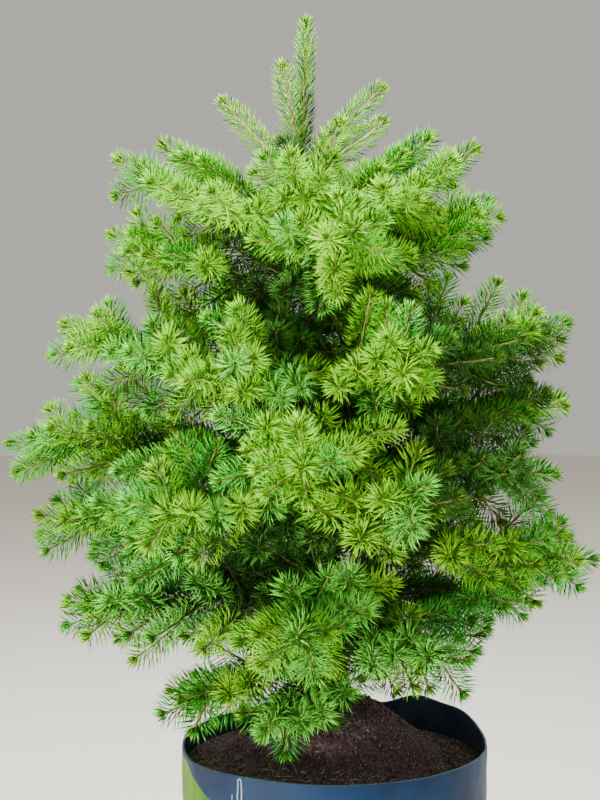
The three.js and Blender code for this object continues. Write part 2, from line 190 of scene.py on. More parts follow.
# Name, place and width in metres, and power in watts.
LIGHTS = [
    ("key_light", (-2.2, -1.8, 2.0), 0.5, 6000),
    ("front_fill", (-0.4, -2.7, 0.75), 1.0, 300),
    ("top_light", (-0.1, 0.1, 2.9), 1.0, 200),
    ("back_light", (1.6, 2.4, 1.8), 1.6, 12),
]
for light_name, place, width, power in LIGHTS:
    light_data = bpy.data.lights.new(light_name, "AREA")
    light_data.size = width
    light_data.energy = power
    light = bpy.data.objects.new(light_name, light_data)
    light.location = place
    aim = np.subtract(LIGHT_AIM, place)
    light.rotation_euler = (
        math.acos(aim[2] / np.linalg.norm(aim)) - math.pi,
        0,
        math.atan2(aim[1], aim[0]) - math.pi / 2,
    )
    bpy.context.collection.objects.link(light)

world = bpy.data.worlds.new("studio_air")
world.use_nodes = True
world.node_tree.nodes["Background"].inputs["Color"].default_value = linear("#F3EEE4")
world.node_tree.nodes["Background"].inputs["Strength"].default_value = 0.6
bpy.context.scene.world = world

floor_colour = linear("#E9E4DA")
floor_paint, _, _ = new_material("pale_matt_floor_paint", Base_Color=floor_colour, Roughness=0.9)
deselect_all()
bpy.ops.mesh.primitive_circle_add(vertices=128, radius=9, fill_type="NGON", location=(0, 0, 0))
floor = bpy.context.object
floor.name = "studio_floor"
floor.data.materials.append(floor_paint)
print("camera lens, mm:", round(camera_data.lens, 2))

# %% [markdown]
# ## The growth rule
#
# A spruce builds one whorl of boughs a year. Each bough carries a central shoot with side shoots
# to both sides, and these carry shorter ones. The rule below is the one the construction model
# grew by, with the same seeds, so every twig falls in the same place. Lines are quadratic
# curves: a foot, a middle and a tip.

# %% Sizes of the tree
SOIL_EDGE_HEIGHT = 300.0
SOIL_MOUND = 73.0
SOIL_HEAP_WIDTH = 75.0
SOIL_FLAT_RADIUS = 26.0
GAP = 0.3
SOIL_TOP = SOIL_EDGE_HEIGHT + SOIL_MOUND + GAP
TRUNK_HEIGHT = 630.0
TRUNK_LEAN = -37.0
TRUNK_FOOT_RADIUS = 16.0
TRUNK_TIP_RADIUS = 4.0
FLARE_OUT = 4.5
FLARE_HEIGHT = 22.0
SAG = 0.05
BOUGH_SHARE = 0.26
BOUGH_RADIUS_PER_REACH = 0.021
BOUGH_TIP_RADIUS = 3.4
STEM_RADIUS = 3.0
TOP_BARE_SHARE = 0.1
DIRECT_BARE_SHARE = 0.2
LEADER_HEIGHT = 145.0
LEADER_SWING = 4.0

# Azimuth (0 is +X, 90 is +Y), height of the foot above the compost, reach and rise of the tip.
TOP_SHOOTS = [
    (238, 604, 46, 112),
    (184, 590, 92, 94),
    (0, 616, 88, 84),
    (40, 602, 124, 74),
    (300, 588, 76, 62),
]
UPPER_MASSES = [
    (170, 540, 168, 100),
    (198, 512, 216, 98),
    (262, 546, 126, 60),
    (342, 516, 190, 106),
    (18, 536, 150, 116),
    (105, 536, 165, 66),
]
LOWER_MASSES = [
    (203, 130, 300, 3),
    (262, 148, 255, -28),
    (312, 110, 205, -32),
    (26, 116, 265, -4),
    (112, 146, 275, -5),
    (221, 66, 212, -32),
    (247, 60, 185, -50),
]
WHORLS = {
    "a": [
        (178, 470, 226, 64),
        (285, 490, 180, 40),
        (14, 464, 214, 114),
        (80, 458, 205, 72),
    ],
    "b": [
        (197, 347, 284, 82),
        (236, 412, 230, -42),
        (300, 388, 225, 14),
        (352, 365, 280, 68),
        (118, 418, 250, 35),
    ],
    "c": [
        (181, 310, 350, -14),
        (266, 328, 280, -38),
        (332, 275, 275, -4),
        (15, 318, 300, 28),
        (80, 332, 262, 22),
    ],
    "d": [
        (189, 225, 318, -8),
        (226, 212, 285, 38),
        (292, 192, 255, 78),
        (352, 202, 300, -34),
        (66, 215, 285, 5),
    ],
}

# %% Lines, draws and places
SIDE_STATIONS = (0.33, 0.51, 0.69)
SIDE_LENGTH_PER_REACH = 0.7
SIDE_LENGTH_LEAST = 12.0
SHORTEST_TWIG = 42.0
TWIG_CURL = 0.16
TWIG_LIFT = 0.1
TWIG_ROOM = 14.0
TEST_STEP = 12.0
ROOT_FREE = 24.0
BAG_HEIGHT = 325.0
BAG_RIM_RADIUS = 175.0
RIM_RISE = 16.0
RIM_ROOM = 8.0
SOIL_ROOM = 3.0
LOWEST_HANG = -180.0
SIDE_RADIUS = 1.9
# Roll about the stem, step onward, share and extra of length, lean, and whether each other one.
SIDE_ROUNDS = (
    (0, 0.0, 1.0, 0, 50, False),
    (180, 0.045, 1.0, 0, 50, False),
    (90, 0.09, 0.75, 10, 54, False),
    (-90, 0.135, 0.5, 20, 56, True),
)
UP = np.array((0.0, 0.0, 1.0))


class Line:
    """A quadratic curve from a foot by a middle to a tip."""

    def __init__(self, foot, middle, tip):
        self.foot, self.middle, self.tip = (np.asarray(p, dtype=float) for p in (foot, middle, tip))
        whole = (self.tip - self.foot) / np.linalg.norm(self.tip - self.foot)
        self.reference = np.array((1.0, 0.0, 0.0)) if abs(whole[2]) > 0.9 else UP
        steps = np.linalg.norm(np.diff(self.points(np.linspace(0, 1, 65)), axis=0), axis=1)
        self.length = float(steps.sum())

    def points(self, shares):
        s = np.asarray(shares, dtype=float)[:, None]
        return (1 - s) ** 2 * self.foot + 2 * s * (1 - s) * self.middle + s * s * self.tip

    def frames(self, shares):
        """Points with three directions at right angles: along, side and up."""
        s = np.asarray(shares, dtype=float)[:, None]
        along = (1 - s) * (self.middle - self.foot) + s * (self.tip - self.middle)
        along /= np.linalg.norm(along, axis=1, keepdims=True)
        side = np.cross(np.broadcast_to(self.reference, along.shape), along)
        side /= np.linalg.norm(side, axis=1, keepdims=True)
        return self.points(shares), along, side, np.cross(along, side)

    def first_part(self, share):
        middle = self.foot + (self.middle - self.foot) * share
        return Line(self.foot, middle, self.points([share])[0])

    def last_part(self, share):
        middle = self.middle + (self.tip - self.middle) * share
        return Line(self.points([share])[0], middle, self.tip)

    def shortened(self, share):
        middle, tip = (self.foot + (p - self.foot) * share for p in (self.middle, self.tip))
        return Line(self.foot, middle, tip)


class Seeded:
    """Repeatable random draws."""

    def __init__(self, seed):
        self.state = (seed * 7919 + 104729) % 2147483647
        for _ in range(3):
            self.next()

    def next(self):
        self.state = self.state * 16807 % 2147483647
        return self.state / 2147483647

    def spread(self, amount):
        return (2 * self.next() - 1) * amount


def trunk_middle(height):
    return np.array((TRUNK_LEAN * height / TRUNK_HEIGHT, 0.0, height))


def trunk_radius(height):
    narrowing = (TRUNK_TIP_RADIUS - TRUNK_FOOT_RADIUS) * min(1, height / TRUNK_HEIGHT)
    return TRUNK_FOOT_RADIUS + narrowing + FLARE_OUT * math.exp(-height / FLARE_HEIGHT)


def bough_line(azimuth, height, reach, rise):
    out = np.array((math.cos(math.radians(azimuth)), math.sin(math.radians(azimuth)), 0.0))
    foot = trunk_middle(height)
    middle = foot + out * reach / 2 + UP * (rise / 2 - SAG * reach)
    return Line(foot, middle, foot + out * reach + UP * rise)


def side_line(parent, share, roll, lean, length):
    """A twig that leaves a parent: lean is its angle to the parent, roll turns it about it."""
    point, along, side, up = (v[0] for v in parent.frames([share]))
    roll, lean = math.radians(roll), math.radians(lean)
    out = along * math.cos(lean) + (side * math.cos(roll) + up * math.sin(roll)) * math.sin(lean)
    middle = point + out * length / 2
    out = out + along * TWIG_CURL + UP * TWIG_LIFT
    return Line(point, middle, middle + out / np.linalg.norm(out) * length / 2)


class Places:
    """What holds room in the crown: points with a radius and an owner."""

    def __init__(self):
        self.points = np.zeros((0, 3))
        self.radii = np.zeros(0)
        self.owners = np.zeros(0, dtype=int)
        self.frame_points = self.points

    def take(self, points, radius, owner):
        self.points = np.vstack((self.points, points))
        self.radii = np.append(self.radii, np.broadcast_to(radius, len(points)))
        self.owners = np.append(self.owners, np.full(len(points), owner))

    def clear(self, points, radius, owner):
        others = self.owners != owner
        apart = np.linalg.norm(points[:, None, :] - self.points[others][None], axis=2)
        return bool((apart >= radius + self.radii[others]).all())

    def clear_of_own(self, points, distance, owner):
        own = self.owners == owner
        apart = np.linalg.norm(points[:, None, :] - self.points[own][None], axis=2)
        return bool((apart >= distance).all())


def soil_height(radius):
    outward = np.maximum(0, radius - SOIL_FLAT_RADIUS) / SOIL_HEAP_WIDTH
    return SOIL_EDGE_HEIGHT + SOIL_MOUND * np.exp(-(outward**2))


def clears_bag(points, margin):
    """Whether points keep their margin to the bag's rim and the compost, and don't hang too low."""
    x, y, z = points.T
    radius = np.hypot(x, y)
    rim_top = BAG_HEIGHT - (SOIL_TOP - GAP) + RIM_RISE
    surface = soil_height(radius) - (SOIL_TOP - GAP)
    at_rim = (np.abs(radius - BAG_RIM_RADIUS) < margin + RIM_ROOM) & (z < rim_top + margin)
    in_soil = (radius < BAG_RIM_RADIUS) & (z < surface + margin + SOIL_ROOM)
    return bool((~at_rim & ~in_soil & (z > LOWEST_HANG)).all())


def points_along(line):
    count = max(2, math.floor(line.length / TEST_STEP + 0.5))
    return line.points(np.linspace(0, 1, count + 1))


# %% [markdown]
# Every twig is kept with its line, its thickness and its generation in the mass it belongs to.
# After the rounds that the construction model knows, finer rounds fill the crown: short shoots on
# the inner part of every bough and up the trunk, which give it its dark core, by the shade among
# them and by the darker greens painted on most of them as painted shade, and a few fine ones
# between the outer twigs. They are tested for room in the same way, and stay within the space that
# the construction model keeps for their mass.

# %% Grow the crown
FINE_ROOM = 11.0
FINE_SHORTEST = 34.0
OWN_ROOM = 19.0
OWN_ROOT_FREE = 27.0
FINE_REACH = 42.0
CORE_SHARE = 0.55
SHORTENED_TO = (1, 0.8, 0.62)
INNER_RADIUS, FINE_RADIUS, FINEST_RADIUS = 1.6, 1.35, 1.2
# Station on the stem, with the rolls about it of the fine shoots that leave there.
FINE_STATIONS = {
    0.41: (8, 172, 58, 122, -62, -118),
    0.59: (8, 172, -60, -120),
    0.77: (8, 172, -50, -130),
}
FINE_LENGTH, FINE_LENGTH_PER_REACH = 36.0, 0.3
INNER_STATIONS = (0.08, 0.13, 0.18, 0.23, 0.28, 0.34)
INNER_LENGTH, INNER_LENGTH_PER_REACH = 52.0, 0.13
TRUNK_SHOOTS_FROM = 115.0
TRUNK_SHOOT_STEP = 8.0
TRUNK_SHOOT_LENGTH = 88.0
# Side twigs longer than this carry a pair of the finest twigs.
PARENT_LENGTH = 88.0
FINEST_STATION, FINEST_STEP = 0.42, 0.06
FINEST_LENGTH, FINEST_LENGTH_PER_PARENT = 30.0, 0.25
GOLDEN_ANGLE = math.pi * (3 - math.sqrt(5))


class Mass:
    """One mass of foliage: its stem and the twigs that have found room."""

    def __init__(self, index, name, kind, whole, reach, start):
        self.index, self.name, self.kind = index, name, kind
        self.whole, self.reach, self.start = whole, reach, start
        self.stem = whole.last_part(start) if start > 0 else whole
        self.twigs = [dict(line=self.stem, radius=STEM_RADIUS, order=0)]
        self.sparse = name.startswith("upper") or name == "lower_foliage_7"


def in_reach(point, mass, frame_points):
    """Whether a tip keeps to the reach of the side twigs that the construction model knows."""
    world = (point + UP * SOIL_TOP) * MM
    if not ((world > CAD_BOX[0]).all() and (world < CAD_BOX[1]).all()):
        return False
    out = np.linalg.norm((point - trunk_middle(point[2]))[:2])
    apart = np.linalg.norm(frame_points - point, axis=1).min()
    return bool(out < CORE_SHARE * mass.reach or apart < FINE_REACH)


def set_twig(places, mass, line, radius, order):
    """Sets a twig if there is room for it, shortened where it has to be."""
    room, shortest = (TWIG_ROOM, SHORTEST_TWIG) if order == 1 else (FINE_ROOM, FINE_SHORTEST)
    for share in SHORTENED_TO:
        shorter = line.shortened(share)
        if shorter.length < shortest:
            return
        points = points_along(shorter)
        from_root = np.linalg.norm(points - line.foot, axis=1)
        outer = points[from_root > OWN_ROOT_FREE]
        points = points[from_root > ROOT_FREE]
        if len(points) == 0:
            points = shorter.points([1.0])
        if order > 1 and not in_reach(shorter.tip, mass, places.frame_points):
            continue
        if order > 1 and not places.clear_of_own(outer, OWN_ROOM, mass.index):
            continue
        if places.clear(points, room, mass.index) and clears_bag(points, room):
            places.take(points, room, mass.index)
            mass.twigs.append(dict(line=shorter, radius=radius, order=order))
            return


def grow_crown():
    foot = trunk_middle(TRUNK_HEIGHT + GAP)
    tip = foot + np.array((LEADER_SWING, 0, LEADER_HEIGHT))
    masses = [Mass(0, "leader_shoot", "top", Line(foot, (foot + tip) / 2, tip), 0, 0)]

    def add(name, row, kind, share):
        whole = bough_line(*row)
        start = share + GAP / whole.length if kind == "bough" else 0
        masses.append(Mass(len(masses), name, kind, whole, row[2], start))

    for i, row in enumerate(TOP_SHOOTS):
        add(f"top_shoot_{i + 1}", row, "top", TOP_BARE_SHARE)
    for i, row in enumerate(UPPER_MASSES):
        add(f"upper_foliage_{i + 1}", row, "direct", DIRECT_BARE_SHARE)
    for i, row in enumerate(LOWER_MASSES):
        add(f"lower_foliage_{i + 1}", row, "direct", DIRECT_BARE_SHARE)
    for whorl, rows in WHORLS.items():
        for i, row in enumerate(rows):
            add(f"foliage_{whorl}{i + 1}", row, "bough", BOUGH_SHARE)

    places = Places()
    heights = np.arange(0, TRUNK_HEIGHT + 1, TEST_STEP)
    trunk_points = np.array([trunk_middle(h) for h in heights])
    places.take(trunk_points, [trunk_radius(h) for h in heights], -1)
    for mass in masses:
        if mass.kind == "bough":
            bare = points_along(mass.whole.first_part(BOUGH_SHARE))
            places.take(bare, BOUGH_TIP_RADIUS + 1, mass.index)
        places.take(points_along(mass.stem), TWIG_ROOM, mass.index)
    for r, (roll0, onward, part, extra, lean0, every_other) in enumerate(SIDE_ROUNDS):
        for k, station in enumerate(SIDE_STATIONS):
            for mass in masses:
                if mass.kind == "top" or (every_other and (k + mass.index + r) % 2):
                    continue
                if roll0 == 90 and mass.kind != "bough":
                    continue
                draw = Seeded(1000 * mass.index + 10 * k + r)
                place = station + onward
                share = (place - mass.start) / (1 - mass.start)
                room = (SIDE_LENGTH_PER_REACH * mass.reach * (1 - place) + SIDE_LENGTH_LEAST) * part
                length = (room + extra) * (1 + draw.spread(0.12))
                roll = roll0 + draw.spread(24)
                line = side_line(mass.stem, share, roll, lean0 + draw.spread(8), length)
                set_twig(places, mass, line, SIDE_RADIUS, 1)
    places.frame_points = places.points.copy()
    grow_fine_twigs(masses, places)
    grow_trunk_shoots(masses, places)
    return masses


def grow_trunk_shoots(masses, places):
    """Short shoots on the trunk between its whorls, each kept with the mass that is nearest."""
    others = [m for m in masses if m.kind != "top"]
    for k in range(int((TRUNK_HEIGHT - TRUNK_SHOOTS_FROM) / TRUNK_SHOOT_STEP)):
        draw = Seeded(70000 + k)
        height = TRUNK_SHOOTS_FROM + k * TRUNK_SHOOT_STEP
        turn = k * GOLDEN_ANGLE
        out = np.array((math.cos(turn), math.sin(turn), 0.0))
        foot = trunk_middle(height) + out * (trunk_radius(height) - 2)
        length = TRUNK_SHOOT_LENGTH + draw.spread(20)
        middle = foot + (out * 0.5 + UP * 0.1) * length
        line = Line(foot, middle, foot + (out * 0.9 + UP * 0.35) * length)
        mass = min(others, key=lambda m: abs(m.whole.foot[2] - height))
        set_twig(places, mass, line, INNER_RADIUS, 3)


def grow_fine_twigs(masses, places):
    """Shorter shoots near the trunk, between the side twigs, and along them."""
    for mass in masses:
        if mass.kind == "top":
            continue
        for k, station in enumerate(INNER_STATIONS):
            for side in (0, 1):
                draw = Seeded(30000 + 1000 * mass.index + 10 * k + side)
                roll = 100 * (k + mass.index) + 180 * side + draw.spread(40)
                length = INNER_LENGTH + INNER_LENGTH_PER_REACH * mass.reach + draw.spread(12)
                line = side_line(mass.whole, station, roll, 58 + draw.spread(10), length)
                set_twig(places, mass, line, INNER_RADIUS, 3)
        for k, (station, rolls) in enumerate(FINE_STATIONS.items()):
            for side, roll0 in enumerate(rolls):
                if mass.sparse and (k or roll0 in (58, 122)):
                    continue
                draw = Seeded(50000 + 1000 * mass.index + 10 * k + side)
                share = (station + 0.02 * side - mass.start) / (1 - mass.start)
                length = FINE_LENGTH_PER_REACH * mass.reach * (1 - station) + FINE_LENGTH
                length *= 1 + draw.spread(0.15)
                roll = roll0 + draw.spread(26)
                line = side_line(mass.stem, share, roll, 48 + draw.spread(9), length)
                set_twig(places, mass, line, FINE_RADIUS, 2)
    for mass in masses:
        for i, twig in enumerate(list(mass.twigs)):
            parent = twig["line"]
            if twig["order"] != 1 or parent.length <= PARENT_LENGTH:
                continue
            for side, roll0 in enumerate((0, 180)):
                draw = Seeded(90000 + 2000 * mass.index + 20 * i + side)
                length = FINEST_LENGTH_PER_PARENT * parent.length + FINEST_LENGTH
                length *= 1 + draw.spread(0.15)
                place = FINEST_STATION + FINEST_STEP * side
                roll = roll0 + draw.spread(30)
                line = side_line(parent, place, roll, 46 + draw.spread(9), length)
                set_twig(places, mass, line, FINEST_RADIUS, 2)


masses = grow_crown()
twig_count = sum(len(m.twigs) for m in masses)
twig_length = sum(t["line"].length for m in masses for t in m.twigs)
print(twig_count, "twigs,", round(twig_length / 1000, 1), "m in all")

# %% [markdown]
# ## Needles
#
# A spruce needle is stiff and sharp, 20 to 28 mm long, and sits on its own small peg, so needles
# stand all round the shoot in a spiral. They lean forward, more so towards the tip, and sweep up a
# little. Each is a slim closed spindle of six faces, slightly bent. They are made as arrays,
# thousands at a time, and joined into a few large pieces by whorl. The greens are plain colours
# dealt out by shoot: this year's growth is fresh, older growth behind it is darker, low shoots
# are mintier, and two faces of every needle show its paler wax. The darker greens also stand as
# painted shade on the inner shoots, all low ones and some higher up, and on most shoots of the
# crown's middle on its +X side.

# %% Needle materials
FRESH_GREENS = ("#6AC800", "#4CBE0C", "#8EDA0C", "#38B41C", "#76CE00")
MINT_GREEN = "#44C238"
# The older greens serve both older growth and painted shade inside the crown and on its +X side.
OLDER_AND_SHADE_GREENS = ("#265A0C", "#366A0A", "#1E5416")
BLOOMS = ("#A4F61C", "#3E7A26", "#6C8418", "#8CFA58")
NEEDLE_TONES = (*FRESH_GREENS, MINT_GREEN, *OLDER_AND_SHADE_GREENS, *BLOOMS)
MINT_TONE = len(FRESH_GREENS)
FIRST_OLDER_AND_SHADE = MINT_TONE + 1
FRESH_BLOOM, OLDER_AND_SHADE_BLOOM, BUD_GREEN, MINT_BLOOM = range(FIRST_OLDER_AND_SHADE + 3, FIRST_OLDER_AND_SHADE + 7)
# Patches of the drift are about 36 mm across: a noise scale counts them to a metre.
DRIFT = {"Scale": 28.0, "Detail": 2.0}


def two_tones(tree, vector, noise, dark, light, low, high):
    """A colour that drifts from dark to light by a noise pattern, and that pattern."""
    pattern = add_node(tree, "ShaderNodeTexNoise", noise, {"Vector": vector}).outputs["Fac"]
    ramp = add_node(tree, "ShaderNodeValToRGB", None, {"Fac": pattern})
    for end, place, colour in zip(ramp.color_ramp.elements, (low, high), (dark, light)):
        end.position, end.color = place, colour
    return ramp.outputs["Color"], pattern


def needle_material(name, hex_colour):
    """Waxy needle: satin, with a faint drift of tone from shoot to shoot."""
    material, tree, shader = new_material(name, Roughness=0.5, Specular_IOR_Level=0.12)
    vector = add_node(tree, "ShaderNodeTexCoord").outputs["Object"]
    red, green, blue, _ = linear(hex_colour)
    dark = (red * 0.76, green * 0.83, blue * 0.85, 1)
    light = (red * 1.1, green * 1.06, blue * 1.0, 1)
    colour, _ = two_tones(tree, vector, DRIFT, dark, light, 0.3, 0.7)
    tree.links.new(colour, shader.inputs["Base Color"])
    return material


needle_materials = [
    needle_material(f"waxy_spruce_needle_{i + 1}", tone) for i, tone in enumerate(NEEDLE_TONES)
]

# %% Needles on their twigs
# Needles stand in eight slowly twisting ranks, so each is a little over three eighths of a turn on.
NEEDLE_TURN = 2 * math.pi * 0.377
# Lean from the shoot in degrees, needle length and width in millimetres, needles to a millimetre.
HABITS = {
    "leader": (47, 20.0, 1.5, 2.2),
    "top": (59, 21.5, 1.55, 2.0),
    "side": (62, 25.5, 1.6, 1.95),
    "low": (61, 27.5, 1.65, 1.75),
}
NEEDLES_ROUND_BUD = 26
NEEDLE_OVER_SOIL = 3.0
# Where a needle is widest, as a share of its length, how far it bends on, and its upward sweep.
NEEDLE_FULLEST = 0.6
NEEDLE_BEND = 0.12
UPSWEEP = 0.06
# Needles part towards both sides of the shoot beneath it, and cover it from above.
PARTING, PARTING_BENEATH = 0.14, 0.2
# Over the last fifth of a shoot they close up, by degrees, and get shorter, by a share.
TIP_FROM, TIP_CLOSING, TIP_SHORTER = 0.8, 20, 0.28
# Over the first eighth of it they grow to their full length.
FOOT_TO, FOOT_SHORTER = 0.12, 0.25
# Round the bud they lean by these degrees, and have these shares of the length.
BUD_LEAN, BUD_LENGTHS = (6, 40), (0.55, 0.95)
FRESH_LENGTH = 90.0
# Painted shade: most shoots on the +X side get the darker greens: how far to +X, from and to
# height.
PAINTED_SHADE_SIDE, PAINTED_SHADE_FROM, PAINTED_SHADE_TO = 105.0, 215.0, 430.0
# Painted shade: the inner shoots below this height get the darker greens; above it most stay fresh.
INNER_SHADE_PAINTED_BELOW = 450.0
# Among the fresh needles of a shoot some are darker, so the single needles stand out.
DARK_SHARE = 0.2
# Share of the shoots on the +X side painted darker as painted shade.
PAINTED_SHADE_SHARE = 0.75
# Share of the inner shoots above that height painted darker as painted shade.
INNER_PAINTED_SHADE_SHARE = 0.4
# The share of mint shoots at the foot of the crown, and how fast it falls with the height.
MINT_SHARE, MINT_FALL = 0.75, 0.8


def needles_along(line, radius, bare, habit, rng):
    """Corner points of the needles of one twig, five to a needle: foot, three round, tip."""
    lean_out, needle_length, needle_width, per_mm = HABITS[habit]
    count = max(6, int((1 - bare) * line.length * per_mm))
    step = (np.arange(count) + 0.5 + rng.uniform(-0.5, 0.5, count)) / count
    turn = np.arange(count) * NEEDLE_TURN + rng.normal(0, 0.13, count)
    turn = turn - (PARTING - PARTING_BENEATH * np.sin(turn)) * np.sin(2 * turn)
    step = np.append(step, np.full(NEEDLES_ROUND_BUD, 0.995))
    turn = np.append(turn, np.arange(NEEDLES_ROUND_BUD) * GOLDEN_ANGLE)
    round_bud = step > 0.99
    share = bare + (1 - bare) * step
    point, along, side, up = line.frames(share)
    radial = side * np.cos(turn)[:, None] + up * np.sin(turn)[:, None]
    near_tip = np.clip((share - TIP_FROM) / (1 - TIP_FROM), 0, 1)
    lean = lean_out - TIP_CLOSING * near_tip**1.5 + rng.normal(0, 2.5, len(step))
    lean[round_bud] = rng.uniform(*BUD_LEAN, round_bud.sum())
    lean = np.radians(lean)
    out = along * np.cos(lean)[:, None] + radial * np.sin(lean)[:, None] + UP * UPSWEEP
    out /= np.linalg.norm(out, axis=1, keepdims=True)
    onward = out + along * NEEDLE_BEND + UP * 0.05
    onward /= np.linalg.norm(onward, axis=1, keepdims=True)
    grow = 1 - FOOT_SHORTER * (1 - np.clip(step / FOOT_TO, 0, 1))
    size = needle_length * grow * (1 - TIP_SHORTER * near_tip)
    size *= 1 + rng.normal(0, 0.05, len(step))
    size[round_bud] *= rng.uniform(*BUD_LENGTHS, round_bud.sum())
    thick = (radius * (1 - 0.5 * share))[:, None]
    foot = point + radial * thick * 0.7
    middle = foot + out * (size * NEEDLE_FULLEST)[:, None]
    tip = middle + onward * (size * (1 - NEEDLE_FULLEST))[:, None]
    across = np.cross(out, radial + 1e-3)
    across /= np.linalg.norm(across, axis=1, keepdims=True)
    above = np.cross(across, out)
    ring = []
    for angle in np.radians((90, 210, 330)):
        outward = across * math.cos(angle) + above * math.sin(angle)
        ring.append(middle + outward * needle_width / 2)
    from_tip = (1 - share) * line.length
    dark_toned = from_tip > FRESH_LENGTH + rng.normal(0, 9, len(step))
    return np.stack((foot, *ring, tip), axis=1), dark_toned


NEEDLE_FACES = np.array(((0, 2, 1), (0, 3, 2), (0, 1, 3), (4, 1, 2), (4, 2, 3), (4, 3, 1)))


def needle_piece(name, members):
    """All needles of several masses as one piece, each shoot in one green."""
    rng = np.random.default_rng(members[0].index + 11)
    corners, tones = [], []
    for mass in members:
        habit = "low" if mass.name.startswith(("foliage_d", "lower")) else "side"
        if mass.kind == "top":
            habit = "leader" if mass.name == "leader_shoot" else "top"
        for twig in mass.twigs:
            bare = 0.0
            if twig["order"] == 0 and mass.kind != "bough" and habit != "leader":
                bare = TOP_BARE_SHARE if mass.kind == "top" else DIRECT_BARE_SHARE
            points, dark_toned = needles_along(twig["line"], twig["radius"], bare, habit, rng)
            tip = twig["line"].tip
            fresh_tone, fresh_bloom = int(rng.integers(0, len(FRESH_GREENS))), FRESH_BLOOM
            if rng.uniform() < MINT_SHARE - MINT_FALL * tip[2] / TRUNK_HEIGHT:
                fresh_tone, fresh_bloom = MINT_TONE, MINT_BLOOM
            older_and_shade_tone = FIRST_OLDER_AND_SHADE + int(rng.integers(0, len(OLDER_AND_SHADE_GREENS)))
            # Painted shade: most shoots on the +X side of the crown's middle take the darker
            # greens.
            painted_shade = tip[0] > PAINTED_SHADE_SIDE and PAINTED_SHADE_FROM < tip[2] < PAINTED_SHADE_TO
            painted_shade = painted_shade and rng.uniform() < PAINTED_SHADE_SHARE
            # Painted shade: inner shoots low in the crown, and some higher up, take the darker
            # greens.
            inner = twig["order"] == 3
            inner = inner and (tip[2] < INNER_SHADE_PAINTED_BELOW or rng.uniform() < INNER_PAINTED_SHADE_SHARE)
            # The darker greens carry older growth, painted shade and needles darker at random
            # alike.
            dark_toned |= painted_shade or inner | (rng.uniform(size=len(dark_toned)) < DARK_SHARE)
            tone = np.where(dark_toned, older_and_shade_tone, fresh_tone)
            tone[-NEEDLES_ROUND_BUD::2] = BUD_GREEN
            bloom = np.where(dark_toned, OLDER_AND_SHADE_BLOOM, fresh_bloom)
            # A needle whose tip would dip into the heap of compost is left out.
            tip_radius = np.hypot(points[:, 4, 0], points[:, 4, 1])
            kept = points[:, 4, 2] + SOIL_TOP > soil_height(tip_radius) + NEEDLE_OVER_SOIL
            corners.append(points[kept])
            tones.append(np.stack((tone, bloom, tone, tone, bloom, tone), axis=1)[kept].ravel())
    corners = np.concatenate(corners)
    faces = NEEDLE_FACES[None] + 5 * np.arange(len(corners))[:, None, None]
    corners = corners + UP * SOIL_TOP
    piece = mesh_piece(name, corners.reshape(-1, 3), faces.reshape(-1, 3), np.concatenate(tones))
    dress(piece, "needles", [m.name for m in members], *needle_materials)


GROUPS = {
    "crown_top": ("leader", "top", "upper"),
    **{f"whorl_{whorl}": f"foliage_{whorl}" for whorl in WHORLS},
    "crown_foot": "lower",
}
for group, start in GROUPS.items():
    needle_piece(f"needles_{group}", [m for m in masses if m.name.startswith(start)])

# %% [markdown]
# ## Twigs and buds
#
# Young spruce shoots are cream to tan and turn brown as they age. A twig is a slim tube round its
# line, brown near its foot and paler at its tip, and the leader and the shoots round it are cream
# all along. Every shoot ends in a brown bud, a pointed egg of six sides.

# %% Twigs
TWIG_SIDES = 7
TWIG_TIP_RADIUS = 1.0
# Up to what share of its length a twig is brown, by its generation.
BROWN_TO = (0.45, 0.2, 0.1, 0.9)


def ring_faces(rings, sides):
    """Triangles of a closed tube: its points are ring by ring, then one at each end."""
    faces = []
    for i in range(rings - 1):
        for k in range(sides):
            a, b = i * sides + k, i * sides + (k + 1) % sides
            faces += [(a, b, b + sides), (a, b + sides, a + sides)]
    foot, last = rings * sides, (rings - 1) * sides
    for k in range(sides):
        faces.append((foot, (k + 1) % sides, k))
        faces.append((foot + 1, last + k, last + (k + 1) % sides))
    return np.array(faces)


def closed_tube(middles, across, upward, radii, sides):
    """A closed round tube along points, each with two directions: its points and triangles."""
    angle = np.arange(sides) * 2 * math.pi / sides
    cosine, sine = np.cos(angle)[None, :, None], np.sin(angle)[None, :, None]
    ring = across[:, None] * cosine + upward[:, None] * sine
    wall = middles[:, None] + ring * np.reshape(radii, (-1, 1, 1))
    points = np.vstack((wall.reshape(-1, 3), middles[0], middles[-1]))
    return points, ring_faces(len(middles), sides)


def joined(shapes):
    """The points and triangles of many shapes as those of one."""
    points, faces = zip(*shapes)
    starts = np.cumsum([0] + [len(p) for p in points[:-1]])
    return np.concatenate(points), np.concatenate([f + s for f, s in zip(faces, starts)])


def bark_material(name, dark, light, grain_mm, relief_mm):
    """Thin bark: fine scales of two tones, with a low relief."""
    material, tree, shader = new_material(name, Roughness=0.78)
    vector = add_node(tree, "ShaderNodeTexCoord").outputs["Object"]
    scales = {"Scale": 1000 / grain_mm, "Detail": 4.0, "Roughness": 0.6}
    tones = linear(dark), linear(light)
    colour, pattern = two_tones(tree, vector, scales, *tones, 0.35, 0.66)
    tree.links.new(colour, shader.inputs["Base Color"])
    height = {"Strength": 0.5, "Distance": relief_mm * MM}
    bump = add_node(tree, "ShaderNodeBump", height, {"Height": pattern})
    tree.links.new(bump.outputs["Normal"], shader.inputs["Normal"])
    return material


older_twig_bark = bark_material("brown_twig_bark", "#383214", "#625A2C", 5.0, 0.4)
young_twig_bark = bark_material("young_tan_twig_bark", "#586020", "#8C9444", 5.0, 0.3)
leader_bark = bark_material("cream_leader_bark", "#8E7440", "#D8C488", 5.0, 0.3)
bud_scales = bark_material("brown_bud_scales", "#6E5230", "#A98A54", 2.5, 0.5)


